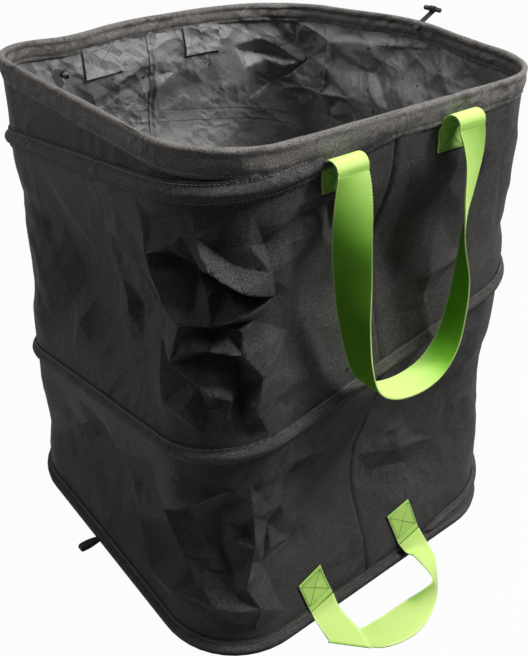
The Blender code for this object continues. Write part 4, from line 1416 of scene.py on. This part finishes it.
# Tipping handle
# The same webbing sewn low on the front, its loop lying out on the ground: a diagonal fold
# turns it over at the left, and it stands on edge where it comes back at the right.
# Back edge, then front edge, from the left sewn end round to the right one
LOWER_LOOP = (
    (-0.1200, -0.2690, 0.0133, -0.0814, -0.2690, 0.0237),
    (-0.1205, -0.2762, 0.0078, -0.0812, -0.2765, 0.0130),
    (-0.1215, -0.2880, 0.0044, -0.0812, -0.2890, 0.0060),
    (-0.1230, -0.2990, 0.0036, -0.0816, -0.3150, 0.0040),
    (-0.1245, -0.3070, 0.0036, -0.0860, -0.3400, 0.0038),
    (-0.1250, -0.3086, 0.0034, -0.0880, -0.3478, 0.0034),
    (-0.1258, -0.3094, 0.0022, -0.0888, -0.3487, 0.0022),
    (-0.1250, -0.3086, 0.0010, -0.0880, -0.3478, 0.0010),
    (-0.1020, -0.3145, 0.0010, -0.0800, -0.3545, 0.0010),
    (-0.0780, -0.3198, 0.0014, -0.0690, -0.3610, 0.0010),
    (-0.0560, -0.3240, 0.0050, -0.0500, -0.3672, 0.0010),
    (-0.0335, -0.3272, 0.0085, -0.0260, -0.3697, 0.0010),
    (-0.0122, -0.3313, 0.0150, 0.0000, -0.3650, 0.0010),
    (0.0077, -0.3395, 0.0270, 0.0270, -0.3530, 0.0010),
    (0.0270, -0.3418, 0.0330, 0.0452, -0.3406, 0.0010),
    (0.0345, -0.3340, 0.0330, 0.0570, -0.3300, 0.0010),
    (0.0426, -0.3085, 0.0280, 0.0741, -0.3125, 0.0030),
    (0.0468, -0.2915, 0.0240, 0.0835, -0.3010, 0.0060),
    (0.0470, -0.2790, 0.0180, 0.0860, -0.2850, 0.0150),
    (0.0420, -0.2690, 0.0283, 0.0806, -0.2690, 0.0387),
)
# Middle of each sewn end along the front and in height; both lean the same way
LOWER_ENDS = (("left", -0.1085, 0.0475), ("right", 0.0535, 0.0625))
LOWER_LEAN = math.radians(15)


def make_lower_handle():
    """The loop on the ground, its two sewn ends and their stitches."""

    def edges(share):
        values = along_stations(LOWER_LOOP, share)
        return Vector(values[:3]), Vector(values[3:])

    loop = strap("bag_lower_handle_loop", edges, 420)
    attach(loop, "lower_handle")
    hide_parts("lower_handle_loop")
    outward = side_axes(0)[1]
    for hand, middle, level in LOWER_ENDS:

        def sewn_spot(across, rise, out, middle=middle, level=level):
            along = middle + across * math.cos(LOWER_LEAN) - rise * math.sin(LOWER_LEAN)
            height = level + rise * math.cos(LOWER_LEAN) + across * math.sin(LOWER_LEAN)
            return on_side(0, -along, height, out)

        def end_edges(share, sewn_spot=sewn_spot):
            rise = between(-0.0300, 0.0235, share)
            out = 0.0018 + 0.0012 * ease(-0.018, -0.028, rise)
            return [sewn_spot(edge, rise, out) for edge in (-WEBBING_HALF, WEBBING_HALF)]

        sewn = strap(f"bag_lower_handle_end_{hand}", end_edges, 60)
        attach(sewn, "bag")
        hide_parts(f"lower_handle_end_{hand}")
        fold_down(sewn)

        def spot(across, rise, sewn_spot=sewn_spot):
            return sewn_spot(across, rise, 0.0030), outward

        box = box_and_cross(spot, 0.035, 0.040, 0.0030)
        rows = sew(f"bag_lower_handle_stitches_{hand}", box, 0.0008, GREEN_THREAD)
        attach(rows, "bag")
        fold_down(rows)


make_lower_handle()

# Toggles and closure loops
# A glossy turned bar hangs on a folded tape on each side of the rim, and a short tape loop
# lies at the base below it to hold the pressed bag shut. The left toggle has fallen inwards.
TAPE_HALF, TAPE = 0.004, 0.0012
TOGGLE_TAPE_LENGTH, TOGGLE_BEND_RADIUS, TAPE_WRAP = 0.0353, 0.006, 0.0032
BAR_RADIUS, BAR_LENGTH, BAR_WAIST = 0.003, 0.028, 0.7
LOOP_ALONG, LOOP_START = 0.020, 0.2744


def glossy(name):
    """Black moulded plastic, glossy with fine scratches."""
    made, tree, shader, node = new_material(name)
    spot = node("ShaderNodeTexCoord").outputs["Object"]
    marks = node("ShaderNodeTexNoise", Vector=spot, Scale=260.0, Detail=4.0)
    shader.inputs["Base Color"].default_value = (0.012, 0.012, 0.013, 1.0)
    roughness = maths(tree, "MULTIPLY_ADD", marks.outputs["Fac"], 0.18, 0.08)
    tree.links.new(roughness, shader.inputs["Roughness"])
    bump = node("ShaderNodeBump", Height=marks.outputs["Fac"], Distance=0.00002)
    tree.links.new(bump.outputs[0], shader.inputs["Normal"])
    return made


TOGGLE_PLASTIC = glossy("toggle_plastic")
BLACK_TAPE = woven("black_tape", (0.040, 0.039, 0.038), (0.012, 0.012, 0.012), 0.0008, 0.75, 0.00010)


def make_toggle(hand, side, place_along, lift, bend):
    """A toggle bar on a tape that comes out of the rim sleeve and wraps the bar."""
    outward, onward = side_frame(side)
    out, along, up = Vector((*outward, 0.0)), Vector((*onward, 0.0)), Vector((0.0, 0.0, 1.0))
    reach = out * math.cos(lift) + up * math.sin(lift)
    face = reach.cross(along)
    spot = out * (RIM_HALF + RIM_OUT) + up * RIM_HEIGHT + along * place_along + reach * 0.0040
    radius = TOGGLE_BEND_RADIUS
    run = TOGGLE_TAPE_LENGTH - 2 * radius * bend
    turns = [bend * step / 8 for step in range(9)] if bend else [0.0]
    rows = []
    for angle in turns:
        way = reach * math.cos(angle) + along * math.sin(angle)
        offset = reach * math.sin(angle) + along * (1 - math.cos(angle))
        rows.append((spot + offset * radius, way.cross(face)))
    straight = rows[-1][0]
    for step in range(1, 13):
        rows.append((straight + way * (run * step / 12), rows[-1][1]))
    centre = rows[-1][0] + (reach * math.sin(bend) - along * math.cos(bend)) * radius
    if bend:
        for angle in reversed(turns[:-1]):
            way = reach * math.cos(angle) + along * math.sin(angle)
            back = along * math.cos(angle) - reach * math.sin(angle)
            rows.append((centre + back * radius, way.cross(face)))
    last, across = rows[-1]
    bar_centre = last + reach * (TAPE_WRAP * 0.8) - face * TAPE_WRAP
    for step in range(0, 21):
        angle = math.radians(90 - 15 * step)
        round_bar = face * (TAPE_WRAP * math.sin(angle))
        rows.append((bar_centre + round_bar + reach * (TAPE_WRAP * math.cos(angle)), across))

    def place(column, row):
        middle, width = rows[row]
        return middle + width * (2 * TAPE_HALF * (column / 6 - 0.5))

    tape = lay_sheet(f"bag_toggle_tape_{hand}", 7, len(rows), place)
    thicken(tape, TAPE, 0)
    tape.data.materials.append(BLACK_TAPE)
    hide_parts(f"toggle_tape_{hand}")
    mesh = bmesh.new()
    bmesh.ops.create_cone(
        mesh, cap_ends=True, segments=28, radius1=BAR_RADIUS, radius2=BAR_RADIUS, depth=BAR_LENGTH
    )
    ends = [face_of for face_of in mesh.faces if len(face_of.verts) > 4]
    rims = list(dict.fromkeys(edge for face_of in ends for edge in face_of.edges))
    bmesh.ops.bevel(
        mesh, geom=rims, offset=0.0016, segments=5, profile=0.5, affect="EDGES", material=-1
    )
    for level in (-0.0066, -0.0052, 0.0052, 0.0066):
        every = list(mesh.verts) + list(mesh.edges) + list(mesh.faces)
        bmesh.ops.bisect_plane(mesh, geom=every, plane_co=(0, 0, level), plane_no=(0, 0, 1))
    for vertex in mesh.verts:
        if abs(vertex.co.z) < 0.0056:
            vertex.co.x *= BAR_WAIST
            vertex.co.y *= BAR_WAIST
    turned = across.to_track_quat("Z", "Y").to_matrix().to_4x4()
    bmesh.ops.transform(mesh, matrix=Matrix.Translation(bar_centre) @ turned, verts=mesh.verts)
    bar = keep_mesh(f"bag_toggle_bar_{hand}", mesh)
    bar.data.materials.append(TOGGLE_PLASTIC)
    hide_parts(f"toggle_bar_{hand}")
    for piece in (tape, bar):
        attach(piece, f"{hand}_toggle")


def make_closure_loop(hand, side):
    """A short tape loop that lies out from the hem."""
    outward, onward = side_frame(side)
    # Out from the hem and height, down to the tip and back above
    path = [
        (0.0000, 0.0041, 0.0),
        (0.0060, 0.0022, 0.0),
        (0.0130, 0.0009, 0.0),
        (0.0250, 0.0009, 0.0),
        (0.0285, 0.0022, 0.0),
        (0.0300, 0.0055, 0.0),
        (0.0285, 0.0088, 0.0),
        (0.0250, 0.0103, 0.0),
        (0.0130, 0.0096, 0.0),
        (0.0060, 0.0080, 0.0),
        (0.0000, 0.0061, 0.0),
    ]

    def place(column, row):
        distance, height, _ = along_stations(path, row / 80)
        reach = LOOP_ALONG + 2 * TAPE_HALF * (column / 6 - 0.5)
        spot = outward * (LOOP_START + distance) + onward * reach
        return Vector((spot.x, spot.y, height))

    loop = lay_sheet(f"bag_closure_loop_{hand}", 7, 81, place)
    thicken(loop, TAPE, 0)
    loop.data.materials.append(BLACK_TAPE)
    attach(loop, f"{hand}_loop")
    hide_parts(f"closure_loop_{hand}")


make_toggle("left", 1, 0.029, math.radians(155), math.radians(76))
make_toggle("right", 3, 0.020, math.radians(28), 0.0)
make_closure_loop("left", 1)
make_closure_loop("right", 3)
